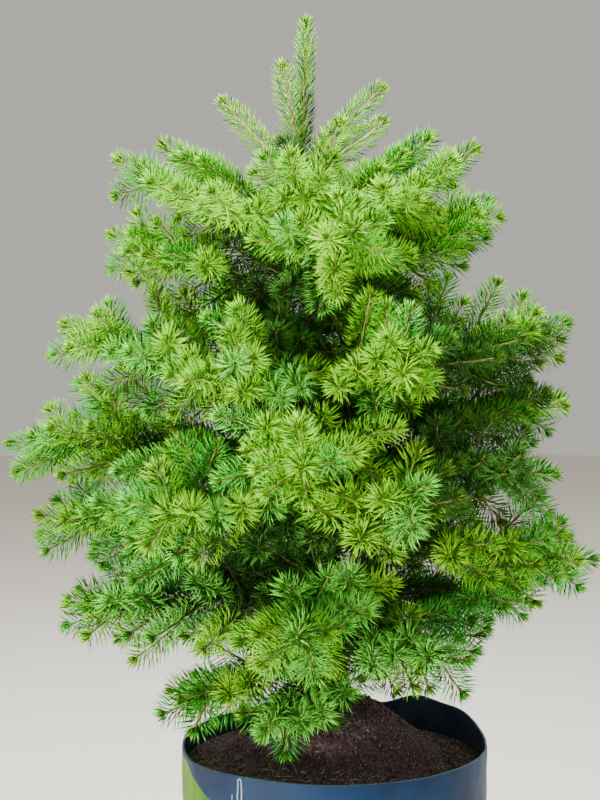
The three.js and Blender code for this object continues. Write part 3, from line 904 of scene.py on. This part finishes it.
def twig_piece(name, chosen):
    """The tubes of many twigs, brown at the foot and pale further out."""
    tubes, tones = [], []
    for mass, twig in chosen:
        rings = max(5, int(twig["line"].length / 16))
        share = np.linspace(0, 1, rings)
        middles, _, side, up = twig["line"].frames(share)
        radii = twig["radius"] + (TWIG_TIP_RADIUS - twig["radius"]) * share
        points, faces = closed_tube(middles, side, up, radii, TWIG_SIDES)
        along = np.minimum(faces.min(axis=1) // TWIG_SIDES, rings - 2) / (rings - 1)
        pale = along > BROWN_TO[twig["order"]]
        tones.append(np.where(mass.kind == "top", 2, pale).astype(int))
        tubes.append((points, faces))
    points, faces = joined(tubes)
    piece = mesh_piece(name, points + UP * SOIL_TOP, faces, np.concatenate(tones), smooth=True)
    dress(piece, "bark", [], older_twig_bark, young_twig_bark, leader_bark)


every_twig = [(m, t) for m in masses for t in m.twigs]
twig_piece("twigs_main", [p for p in every_twig if p[1]["order"] < 2])
twig_piece("twigs_fine", [p for p in every_twig if p[1]["order"] > 1])

# %% Buds
BUD_LENGTH = 8.0
BUD_RADIUS = 2.1
BUD_SIDES = 6
BUD_SIZES = (1.15, 0.9, 0.8, 0.7)
# How far forward each ring of a bud stands and how wide it is, as shares of length and radius.
BUD_PROFILE = ((-0.25, 0.5), (0.1, 0.95), (0.35, 1.0), (0.7, 0.62), (0.95, 0.16))


def bud(line, size):
    """A pointed egg on the tip of a shoot, its rings turned by half a side in turn."""
    point, along, side, up = (v[0] for v in line.frames([1.0]))
    rings = []
    for i, (forward, wide) in enumerate(BUD_PROFILE):
        angle = (np.arange(BUD_SIDES) + 0.5 * (i % 2)) * 2 * math.pi / BUD_SIDES
        ring = side * np.cos(angle)[:, None] + up * np.sin(angle)[:, None]
        middle = point + along * forward * BUD_LENGTH * size
        rings.append(middle + ring * wide * BUD_RADIUS * size)
    points = np.vstack((*rings, rings[0].mean(axis=0), point + along * BUD_LENGTH * size * 1.1))
    return points, ring_faces(len(BUD_PROFILE), BUD_SIDES)


points, faces = joined([bud(t["line"], BUD_SIZES[t["order"]]) for _, t in every_twig])
shoot_buds = mesh_piece("shoot_buds", points + UP * SOIL_TOP, faces)
dress(shoot_buds, "bark", [], bud_scales)

# %% [markdown]
# ## Trunk
#
# The trunk of a young spruce is a straight pole with thin, scaly, grey-brown bark, a flare at its
# foot and a swelling under every bough. A disc is extruded ring by ring up the trunk, each ring
# set to the taper, then the mesh is smoothed and the scales are pushed out of it.

# %% Trunk bark and shape
TRUNK_SIDES = 24
TRUNK_RING_STEP = 15.0
# The flare has shallow flutes, and the bark swells in a collar under every bough.
FLUTES, FLUTE_DEPTH = 3, 0.14
COLLAR_SWELL, COLLAR_HEIGHT, COLLAR_SPREAD = 0.22, 11.0, 0.8

trunk_bark = bark_material("grey_brown_spruce_bark", "#2A2321", "#6A564A", 7.0, 0.9)


def relief(piece, name, kind, size_mm, strength_mm):
    """Pushes a pattern out of a mesh with a Displace modifier."""
    texture = bpy.data.textures.new(name, kind)
    texture.noise_scale = size_mm * MM
    modifier = piece.modifiers.new(name, "DISPLACE")
    modifier.texture = texture
    modifier.texture_coords = "LOCAL"
    modifier.strength = strength_mm * MM
    return modifier


def smooth_levels(piece, levels):
    modifier = piece.modifiers.new("smooth", "SUBSURF")
    modifier.levels = levels
    modifier.render_levels = levels


def start_disc(name, sides, radius, place, turn=(0, 0, 0), fill="NGON"):
    """A disc in edit mode, selected all over, with its radius and place in millimetres."""
    deselect_all()
    place = tuple(np.array(place) * MM)
    bpy.ops.mesh.primitive_circle_add(
        vertices=sides, radius=radius * MM, fill_type=fill, location=place, rotation=turn
    )
    disc = bpy.context.object
    disc.name = name
    settle(disc)
    bpy.ops.object.mode_set(mode="EDIT")
    bpy.ops.mesh.select_all(action="SELECT")
    return disc


def extrude_rings(centres, radii, flat=True):
    """Extrudes what is selected from centre to centre, each ring scaled to its own radius."""
    for i in range(1, len(centres)):
        move = tuple((centres[i] - centres[i - 1]) * MM)
        bpy.ops.mesh.extrude_region_move(TRANSFORM_OT_translate={"value": move})
        wide = radii[i] / radii[i - 1]
        scale = (wide, wide, 1 if flat else wide)
        bpy.ops.transform.resize(value=scale, center_override=tuple(centres[i] * MM))


def close_shell():
    """Points all faces outwards and leaves edit mode."""
    bpy.ops.mesh.select_all(action="SELECT")
    bpy.ops.mesh.normals_make_consistent(inside=False)
    bpy.ops.object.mode_set(mode="OBJECT")


def trunk_swell(height, angle):
    """How far the trunk swells at a height and angle, as a share of its radius."""
    swell = FLUTE_DEPTH * math.cos(FLUTES * angle) * math.exp(-height / FLARE_HEIGHT / 2)
    for mass in masses:
        if mass.kind != "top":
            up = height - mass.whole.foot[2]
            turn = math.atan2(*(mass.whole.middle - mass.whole.foot)[[1, 0]])
            apart = (angle - turn + math.pi) % (2 * math.pi) - math.pi
            near = -((up / COLLAR_HEIGHT) ** 2) - (apart / COLLAR_SPREAD) ** 2
            swell += COLLAR_SWELL * math.exp(near)
    return swell


def make_trunk():
    rings = int(TRUNK_HEIGHT / TRUNK_RING_STEP)
    heights = [TRUNK_HEIGHT * (i / rings) ** 1.25 for i in range(rings + 1)]
    trunk = start_disc("trunk_bark", TRUNK_SIDES, trunk_radius(0), (0, 0, SOIL_TOP))
    centres = [trunk_middle(h) + UP * SOIL_TOP for h in heights]
    extrude_rings(centres, [trunk_radius(h) for h in heights])
    close_shell()
    for vertex in trunk.data.vertices:
        x, y, z = (c / MM for c in vertex.co)
        middle = trunk_middle(z - SOIL_TOP)[0]
        wide = 1 + trunk_swell(z - SOIL_TOP, math.atan2(y, x - middle))
        vertex.co = ((middle + (x - middle) * wide) * MM, y * wide * MM, z * MM)
    smooth_levels(trunk, 2)
    relief(trunk, "bark_scales", "VORONOI", 6.0, 1.3)
    relief(trunk, "bark_waves", "CLOUDS", 18.0, 1.6)
    apply_modifiers(trunk)
    bpy.ops.object.shade_smooth_by_angle(angle=math.radians(50))
    dress(trunk, "bark", ["trunk"], trunk_bark)


make_trunk()

# %% [markdown]
# ## Boughs
#
# Each bare bough is modelled the same way, as a small disc extruded along its line. The disc is
# turned to the line at its foot only, then moved along it step by step and scaled to the taper, so
# the limb bends with the line.

# %% Boughs
BOUGH_SIDES = 10
BOUGH_STEPS = 8


def make_bough(mass):
    line = mass.whole.first_part(BOUGH_SHARE)
    inside = (trunk_radius(line.foot[2]) - 3) / line.length
    shares = np.linspace(inside, 1, BOUGH_STEPS + 1)
    points, alongs, _, _ = line.frames(shares)
    points = points + UP * SOIL_TOP
    root_radius = mass.reach * BOUGH_RADIUS_PER_REACH
    radii = root_radius + (BOUGH_TIP_RADIUS - root_radius) * shares
    turn = (0, math.acos(alongs[0][2]), math.atan2(alongs[0][1], alongs[0][0]))
    bough = start_disc("bough", BOUGH_SIDES, radii[0], points[0], turn)
    extrude_rings(points, radii, flat=False)
    close_shell()
    return bough


def make_boughs():
    limbs = [make_bough(mass) for mass in masses if mass.kind == "bough"]
    deselect_all()
    for limb in limbs:
        limb.select_set(True)
    bpy.context.view_layer.objects.active = limbs[0]
    bpy.ops.object.join()
    boughs = bpy.context.object
    boughs.name = "bough_bark"
    smooth_levels(boughs, 1)
    relief(boughs, "bough_scales", "CLOUDS", 6.0, 1.0)
    apply_modifiers(boughs)
    bpy.ops.object.shade_smooth_by_angle(angle=math.radians(50))
    names = [m.name.replace("foliage", "bough") for m in masses if m.kind == "bough"]
    dress(boughs, "bark", names, trunk_bark)


make_boughs()

# %% [markdown]
# ## Grow bag
#
# The bag is welded from soft polyethylene film, dark blue outside and nearly black within. Its
# free mouth stands a little above the compost and waves. A ring is extruded up the wall, the
# points near the mouth are moved by a short table of folds, and Solidify gives the film its
# thickness, with a material of its own for the inside and a paler one for the cut lip. The inside
# is painted lighter than near black, as painted fill light, and the lip is pale partly as the
# film's cut edge and partly as a painted highlight along the lit rim. Low creases are pushed out
# of the wall by two Displace modifiers that a vertex group keeps off the base.

# %% Bag sizes and folds
BAG_FOOT_RADIUS = 165.0
BAG_BELLY = 4.0
BAG_CORNER = 9.0
BAG_WALL = 2.4
FOLD_DEPTH = 70.0
RISE_DEPTH = 22.0
# Angle, half width, how far out and how far up.
BAG_FOLDS = (
    (32, 20, 4, 13),
    (54, 11, 3, 12),
    (68, 9, -5, -1),
    (88, 13, 3, 15),
    (205, 20, 2, -3),
    (310, 24, 3, 2),
)
BAG_SIDES = 180
WALL_RINGS = 44
# Name, size and strength of the creases, which fade out over this height above the base.
CREASES = (("broad_dents", 90.0, 5.0), ("soft_creases", 28.0, 1.8))
CREASE_FADE = 60.0


def bag_radius(height):
    share = height / BAG_HEIGHT
    widening = (BAG_RIM_RADIUS - BAG_FOOT_RADIUS) * share
    return BAG_FOOT_RADIUS + widening + BAG_BELLY * math.sin(math.pi * share)


def folded(point):
    """A point of the bag moved by the folds at its angle, in millimetres."""
    x, y, z = point
    radius = math.hypot(x, y)
    if radius < 1e-6:
        return point
    angle = math.degrees(math.atan2(y, x))
    low = BAG_HEIGHT - z
    near_wall = min(1, max(0, (radius / BAG_RIM_RADIUS - 0.6) / 0.3))
    near_wall = near_wall * near_wall * (3 - 2 * near_wall)
    lean = near_wall * max(0, 1 - low / FOLD_DEPTH) ** 2
    lift = near_wall * max(0, 1 - low / RISE_DEPTH)
    out = 0
    for fold_angle, width, fold_out, rise in BAG_FOLDS:
        turn = (angle - fold_angle + 180) % 360 - 180
        near = math.exp(-((turn / width) ** 2))
        out += fold_out * near * lean
        z += rise * near * lift
    return (x * (1 + out / radius), y * (1 + out / radius), z)


# %% Bag film
FILM_DARK, FILM_LIGHT = "#062040", "#0E3A64"
PANEL_DARK, PANEL_LIGHT = "#2C6200", "#6CA008"
# The green panel wraps round the left of the bag. A blue flap with a curved lower edge hangs
# over its front part. Angles are measured from -X, so that the panel doesn't cross a half turn.
PANEL_ANGLES = (-30.0, 51.0)
FLAP_ANGLES = (20.0, 51.0)
FLAP_DROP = 33.0
PANEL_BOTTOM, PANEL_TOP = 14.0, BAG_HEIGHT - 8
# Clouds are about 70 mm across, wrinkles 22 mm, and streaks 8 mm but drawn out down the panel.
CLOUDS = {"Scale": 14.0, "Detail": 3.0}
WRINKLES = {"Scale": 45.0, "Detail": 5.0, "Roughness": 0.55}
STREAKS = {"Scale": 130.0, "Detail": 3.0}
DRAWN_OUT = (1.0, 1.0, 0.06)
FILM_ENDS = (0.32, 0.7)


def panel_mask(tree, vector):
    """1 on the green panel and 0 beside it and under the flap."""
    place = add_node(tree, "ShaderNodeSeparateXYZ", None, {"Vector": vector})
    values = {axis: place.outputs[axis] for axis in "XYZ"}
    flap_from, flap_to, panel_from, panel_to = np.radians(FLAP_ANGLES + PANEL_ANGLES).tolist()
    # One Math node to a row: its name, its operation, and its inputs as names or numbers.
    for name, operation, *inputs in (
        ("side", "MULTIPLY", "Y", -1.0),
        ("back", "MULTIPLY", "X", -1.0),
        ("angle", "ARCTAN2", "side", "back"),
        ("past", "SUBTRACT", "angle", flap_from),
        ("share", "DIVIDE", "past", flap_to - flap_from),
        ("from_start", "MAXIMUM", "share", 0.0),
        ("to_end", "MINIMUM", "from_start", 1.0),
        ("quarter_turn", "MULTIPLY", "to_end", math.pi / 2),
        ("curve", "SINE", "quarter_turn"),
        ("drop", "MULTIPLY", "curve", FLAP_DROP * MM),
        ("edge", "SUBTRACT", PANEL_TOP * MM, "drop"),
        ("under_edge", "LESS_THAN", "Z", "edge"),
        ("over_foot", "GREATER_THAN", "Z", PANEL_BOTTOM * MM),
        ("after", "GREATER_THAN", "angle", panel_from),
        ("before", "LESS_THAN", "angle", panel_to),
        ("high", "MULTIPLY", "under_edge", "over_foot"),
        ("wide", "MULTIPLY", "after", "before"),
        ("mask", "MULTIPLY", "high", "wide"),
    ):
        settings = {i: v for i, v in enumerate(inputs) if not isinstance(v, str)}
        links = {i: values[v] for i, v in enumerate(inputs) if isinstance(v, str)}
        node = add_node(tree, "ShaderNodeMath", {"operation": operation, **settings}, links)
        values[name] = node.outputs[0]
    return values["mask"]


def film_material(name, dark, light, gloss, panel=False):
    """Soft polyethylene: satin, faintly cloudy, with fine creases."""
    material, tree, shader = new_material(name, Roughness=gloss, Specular_IOR_Level=0.2)
    vector = add_node(tree, "ShaderNodeTexCoord").outputs["Object"]
    colour, _ = two_tones(tree, vector, CLOUDS, linear(dark), linear(light), *FILM_ENDS)
    if panel:
        drawn_out = add_node(tree, "ShaderNodeMapping", {"Scale": DRAWN_OUT}, {"Vector": vector})
        tones = linear(PANEL_DARK), linear(PANEL_LIGHT)
        green, _ = two_tones(tree, drawn_out.outputs["Vector"], STREAKS, *tones, *FILM_ENDS)
        mixed = {0: panel_mask(tree, vector), 6: colour, 7: green}
        colour = add_node(tree, "ShaderNodeMix", {"data_type": "RGBA"}, mixed).outputs[2]
    tree.links.new(colour, shader.inputs["Base Color"])
    wrinkles = add_node(tree, "ShaderNodeTexNoise", WRINKLES, {"Vector": vector})
    height = {"Strength": 0.25, "Distance": 0.002}
    bump = add_node(tree, "ShaderNodeBump", height, {"Height": wrinkles.outputs["Fac"]})
    tree.links.new(bump.outputs["Normal"], shader.inputs["Normal"])
    return material


blue_film = film_material("dark_blue_polyethylene_film", FILM_DARK, FILM_LIGHT, 0.5, panel=True)
# The inside is painted lighter than the film's near black, as painted fill light where little light
# falls.
inner_film_painted_fill_light = film_material("black_inner_film", "#2A344E", "#465674", 0.55)
# The lip is pale partly as the film's cut edge and partly as a painted highlight along the lit rim.
lip_film_painted_highlight = film_material("cut_film_lip", "#6488AC", "#B0C8DC", 0.5)
# The weld beads are painted pale as painted highlights along their ridges.
weld_bead_painted_highlight = film_material("pale_weld_bead", "#9FC3D6", "#DCEBF2", 0.4)


def make_bag():
    foot = BAG_FOOT_RADIUS - BAG_CORNER
    bag = start_disc("grow_bag_film", BAG_SIDES, foot, (0, 0, 0), fill="TRIFAN")
    bpy.ops.mesh.select_all(action="DESELECT")
    bpy.ops.mesh.select_mode(type="EDGE")
    bpy.ops.mesh.select_non_manifold()
    heights = np.linspace(BAG_CORNER, BAG_HEIGHT, WALL_RINGS + 1)
    radii = [foot, BAG_FOOT_RADIUS - 3.5, BAG_FOOT_RADIUS - 0.6, *(bag_radius(h) for h in heights)]
    extrude_rings([UP * h for h in (0.0, 1.6, 4.6, *heights)], radii)
    close_shell()
    for vertex in bag.data.vertices:
        vertex.co = [c * MM for c in folded([c / MM for c in vertex.co])]
    wall_group = bag.vertex_groups.new(name="wall")
    for vertex in bag.data.vertices:
        rise = min(1, max(0, (vertex.co.z / MM - BAG_CORNER) / CREASE_FADE))
        wall_group.add([vertex.index], rise, "REPLACE")
    for crease, size_mm, strength_mm in CREASES:
        relief(bag, crease, "CLOUDS", size_mm, strength_mm).vertex_group = "wall"
    # Solidify picks the inside and the lip by material index, so the films come first.
    for film in (blue_film, inner_film_painted_fill_light, lip_film_painted_highlight):
        bag.data.materials.append(film)
    film_wall = bag.modifiers.new("film", "SOLIDIFY")
    film_wall.thickness = BAG_WALL * MM
    film_wall.offset = -1
    film_wall.material_offset = 1
    film_wall.material_offset_rim = 2
    apply_modifiers(bag)
    bpy.ops.object.shade_smooth_by_angle(angle=math.radians(50))
    dress(bag, "bag_film", ["grow_bag"])
    return bag


bag = make_bag()

# %% [markdown]
# The film is a sheet welded into a tube. The weld shows as a double bead that bends over at its
# top like a hook, with a shorter single bead beside it, both painted pale as painted highlights
# along the ridges. Each is a fine tube whose middle line is laid on the finished wall, point by
# point.

# %% Weld beads
WELD_ANGLE = 234.0
WELD_GAP = 5.0
WELD_TOP, WELD_BOTTOM, WELD_STEP = BAG_HEIGHT - 3, 16.0, 6.0
SHORT_WELD_ANGLE, SHORT_WELD_TOP = 230.6, 306.0
BEAD_RADIUS, SHORT_BEAD_RADIUS = 0.8, 0.64
BEAD_SIDES = 8


def on_wall(angle, height):
    """The nearest point of the bag's outside to an angle and height, in millimetres."""
    turn = math.radians(angle)
    reach = (BAG_RIM_RADIUS + 20) * MM
    outside = (math.cos(turn) * reach, math.sin(turn) * reach, height * MM)
    return np.array(bag.closest_point_on_mesh(outside)[1]) / MM


def bead(route, radius):
    """A closed round tube along points of the wall, in millimetres."""
    route = np.array(route)
    along = np.gradient(route, axis=0)
    along /= np.linalg.norm(along, axis=1, keepdims=True)
    outward = route * (1, 1, 0)
    outward /= np.linalg.norm(outward, axis=1, keepdims=True)
    across = np.cross(along, outward)
    across /= np.linalg.norm(across, axis=1, keepdims=True)
    return closed_tube(route, across, np.cross(across, along), radius, BEAD_SIDES)


def make_weld():
    half = math.degrees(WELD_GAP / 2 / BAG_RIM_RADIUS)
    heights = np.arange(WELD_BOTTOM, WELD_TOP - WELD_GAP, WELD_STEP)
    route = [on_wall(WELD_ANGLE - half, h) for h in heights]
    for turn in np.radians(np.arange(0, 181, 20)):
        height = WELD_TOP - WELD_GAP / 2 + WELD_GAP / 2 * math.sin(turn)
        route.append(on_wall(WELD_ANGLE - half * math.cos(turn), height))
    route += [on_wall(WELD_ANGLE + half, h) for h in heights[::-1]]
    short_heights = np.arange(WELD_BOTTOM, SHORT_WELD_TOP, WELD_STEP)
    short = [on_wall(SHORT_WELD_ANGLE, h) for h in short_heights]
    points, faces = joined([bead(route, BEAD_RADIUS), bead(short, SHORT_BEAD_RADIUS)])
    weld = mesh_piece("bag_weld_beads", points, faces, smooth=True)
    work_on(weld)
    bpy.ops.object.mode_set(mode="EDIT")
    close_shell()
    dress(weld, "bag_film", [], weld_bead_painted_highlight)


make_weld()

# %% [markdown]
# ## Compost
#
# Moist potting compost is dark and crumbly, heaped up to the trunk, with bark chips and pale
# specks in it and a few pale roots at the edge. The surface is a disc extruded outwards ring by
# ring, so that its faces are even, then lifted to the heap's curve and roughened in steps.
# Crumbs, chips, specks and roots are small closed shapes, strewn over it as joined meshes.

# %% Compost surface
COMPOST_SIDES = 220
COMPOST_RING = 3.2
COMPOST_SKIRT = 40.0
# Name, size and strength of the lumps, which fade out over this width at the wall.
LUMPS = (("clods", 24.0, 6.0), ("lumps", 9.0, 4.5), ("crumble", 4.0, 2.2))
LUMPS_FADE = 12.0
COMPOST_EDGE = bag_radius(SOIL_EDGE_HEIGHT) - BAG_WALL - 1.0
compost_material = bark_material("moist_potting_compost", "#2E2228", "#72545E", 4.0, 1.6)
crumb_material = bark_material("compost_crumb", "#34262C", "#90727A", 2.0, 0.6)
chip_material = bark_material("red_brown_bark_chip", "#3E1F14", "#8A4A30", 3.0, 0.5)
root_material = bark_material("pale_fine_root", "#A89A88", "#E6DCCC", 3.0, 0.2)


def make_compost():
    edge = UP * SOIL_EDGE_HEIGHT
    compost = start_disc("compost_surface", COMPOST_SIDES, COMPOST_RING, edge)
    bpy.ops.mesh.select_mode(type="EDGE")
    bpy.ops.mesh.region_to_loop()
    radii = [COMPOST_RING]
    while radii[-1] < COMPOST_EDGE:
        radii.append(min(COMPOST_EDGE, radii[-1] * 1.01 + COMPOST_RING))
    extrude_rings([edge] * len(radii), radii)
    skirt = (0, 0, -COMPOST_SKIRT * MM)
    bpy.ops.mesh.extrude_region_move(TRANSFORM_OT_translate={"value": skirt})
    bpy.ops.mesh.edge_face_add()
    close_shell()
    surface = compost.vertex_groups.new(name="surface")
    for vertex in compost.data.vertices:
        if vertex.co.z > (SOIL_EDGE_HEIGHT - 1) * MM:
            out = math.hypot(vertex.co.x, vertex.co.y) / MM
            vertex.co.z = soil_height(out) * MM
            inward = min(1, max(0, (COMPOST_EDGE - out) / LUMPS_FADE))
            surface.add([vertex.index], inward, "REPLACE")
    for pattern, size_mm, strength_mm in LUMPS:
        relief(compost, pattern, "CLOUDS", size_mm, strength_mm).vertex_group = "surface"
    apply_modifiers(compost)
    bpy.ops.object.shade_smooth_by_angle(angle=math.radians(40))
    dress(compost, "compost", ["potting_soil"], compost_material)


make_compost()

# %% Crumbs, chips and roots
CRUMBS, CHIPS, SPECKS, ROOTS = 3600, 170, 1300, 190
ROOTS_FROM = 110.0
LUMP_CORNERS = np.array(
    ((1, 0, 0), (-1, 0, 0), (0, 1, 0), (0, -1, 0), (0, 0, 1), (0, 0, -1)), dtype=float
)
LUMP_FACES = np.array(
    ((0, 2, 4), (2, 1, 4), (1, 3, 4), (3, 0, 4), (2, 0, 5), (1, 2, 5), (3, 1, 5), (0, 3, 5))
)


def turned_frames(count, rng):
    """Random square frames, one to a shape."""
    first = rng.normal(0, 1, (count, 3))
    first /= np.linalg.norm(first, axis=1, keepdims=True)
    second = np.cross(first, rng.normal(0, 1, (count, 3)))
    second /= np.linalg.norm(second, axis=1, keepdims=True)
    return np.stack((first, second, np.cross(first, second)), axis=1)


def strewn_places(count, rng, inner=SOIL_FLAT_RADIUS):
    """Points on the compost's curve, even over its area, in millimetres."""
    out = np.sqrt(rng.uniform(inner**2, (COMPOST_EDGE - 5) ** 2, count))
    turn = rng.uniform(0, 2 * math.pi, count)
    return np.stack((out * np.cos(turn), out * np.sin(turn), soil_height(out)), axis=1)


def strew(name, places, sizes, material, rng, flat=False):
    """Rough eight-sided lumps at places, with three half sizes to each."""
    frames = turned_frames(len(places), rng)
    if flat:
        frames[:, :2] *= (1, 1, 0.25)
        frames[:, 2] = np.cross(frames[:, 0], frames[:, 1])
        frames /= np.linalg.norm(frames, axis=2, keepdims=True)
    corners = LUMP_CORNERS[None] * sizes[:, None, :]
    corners = corners * rng.uniform(0.7, 1.15, (len(places), 6, 1))
    points = places[:, None, :] + np.einsum("nij,njk->nik", corners, frames)
    faces = LUMP_FACES[None] + 6 * np.arange(len(places))[:, None, None]
    piece = mesh_piece(name, points.reshape(-1, 3), faces.reshape(-1, 3))
    dress(piece, "compost", [], material)


rng = np.random.default_rng(5)
crumb_sizes = rng.lognormal(0.4, 0.42, (CRUMBS, 1)) * rng.uniform(0.7, 1.2, (CRUMBS, 3))
strew("compost_crumbs", strewn_places(CRUMBS, rng), crumb_sizes, crumb_material, rng)
chip_sizes = rng.uniform(0.7, 1.3, (CHIPS, 1)) * np.array((5.5, 3.0, 1.0))
strew("bark_chips", strewn_places(CHIPS, rng) + UP * 1.2, chip_sizes, chip_material, rng, flat=True)
speck_sizes = rng.uniform(0.5, 1.1, (SPECKS, 3))
strew("pale_specks", strewn_places(SPECKS, rng) + UP * 1.8, speck_sizes, root_material, rng)
root_places = strewn_places(ROOTS * 3, rng, inner=ROOTS_FROM)
# Roots show most along the front of the bag.
from_front = root_places[:, 1] + 0.4 * root_places[:, 0]
root_places = root_places[np.argsort(from_front)][:ROOTS]
root_sizes = rng.uniform(0.6, 1.4, (ROOTS, 1)) * np.array((8.0, 0.4, 0.4))
strew("pale_roots", root_places + UP * 2.0, root_sizes, root_material, rng, flat=True)
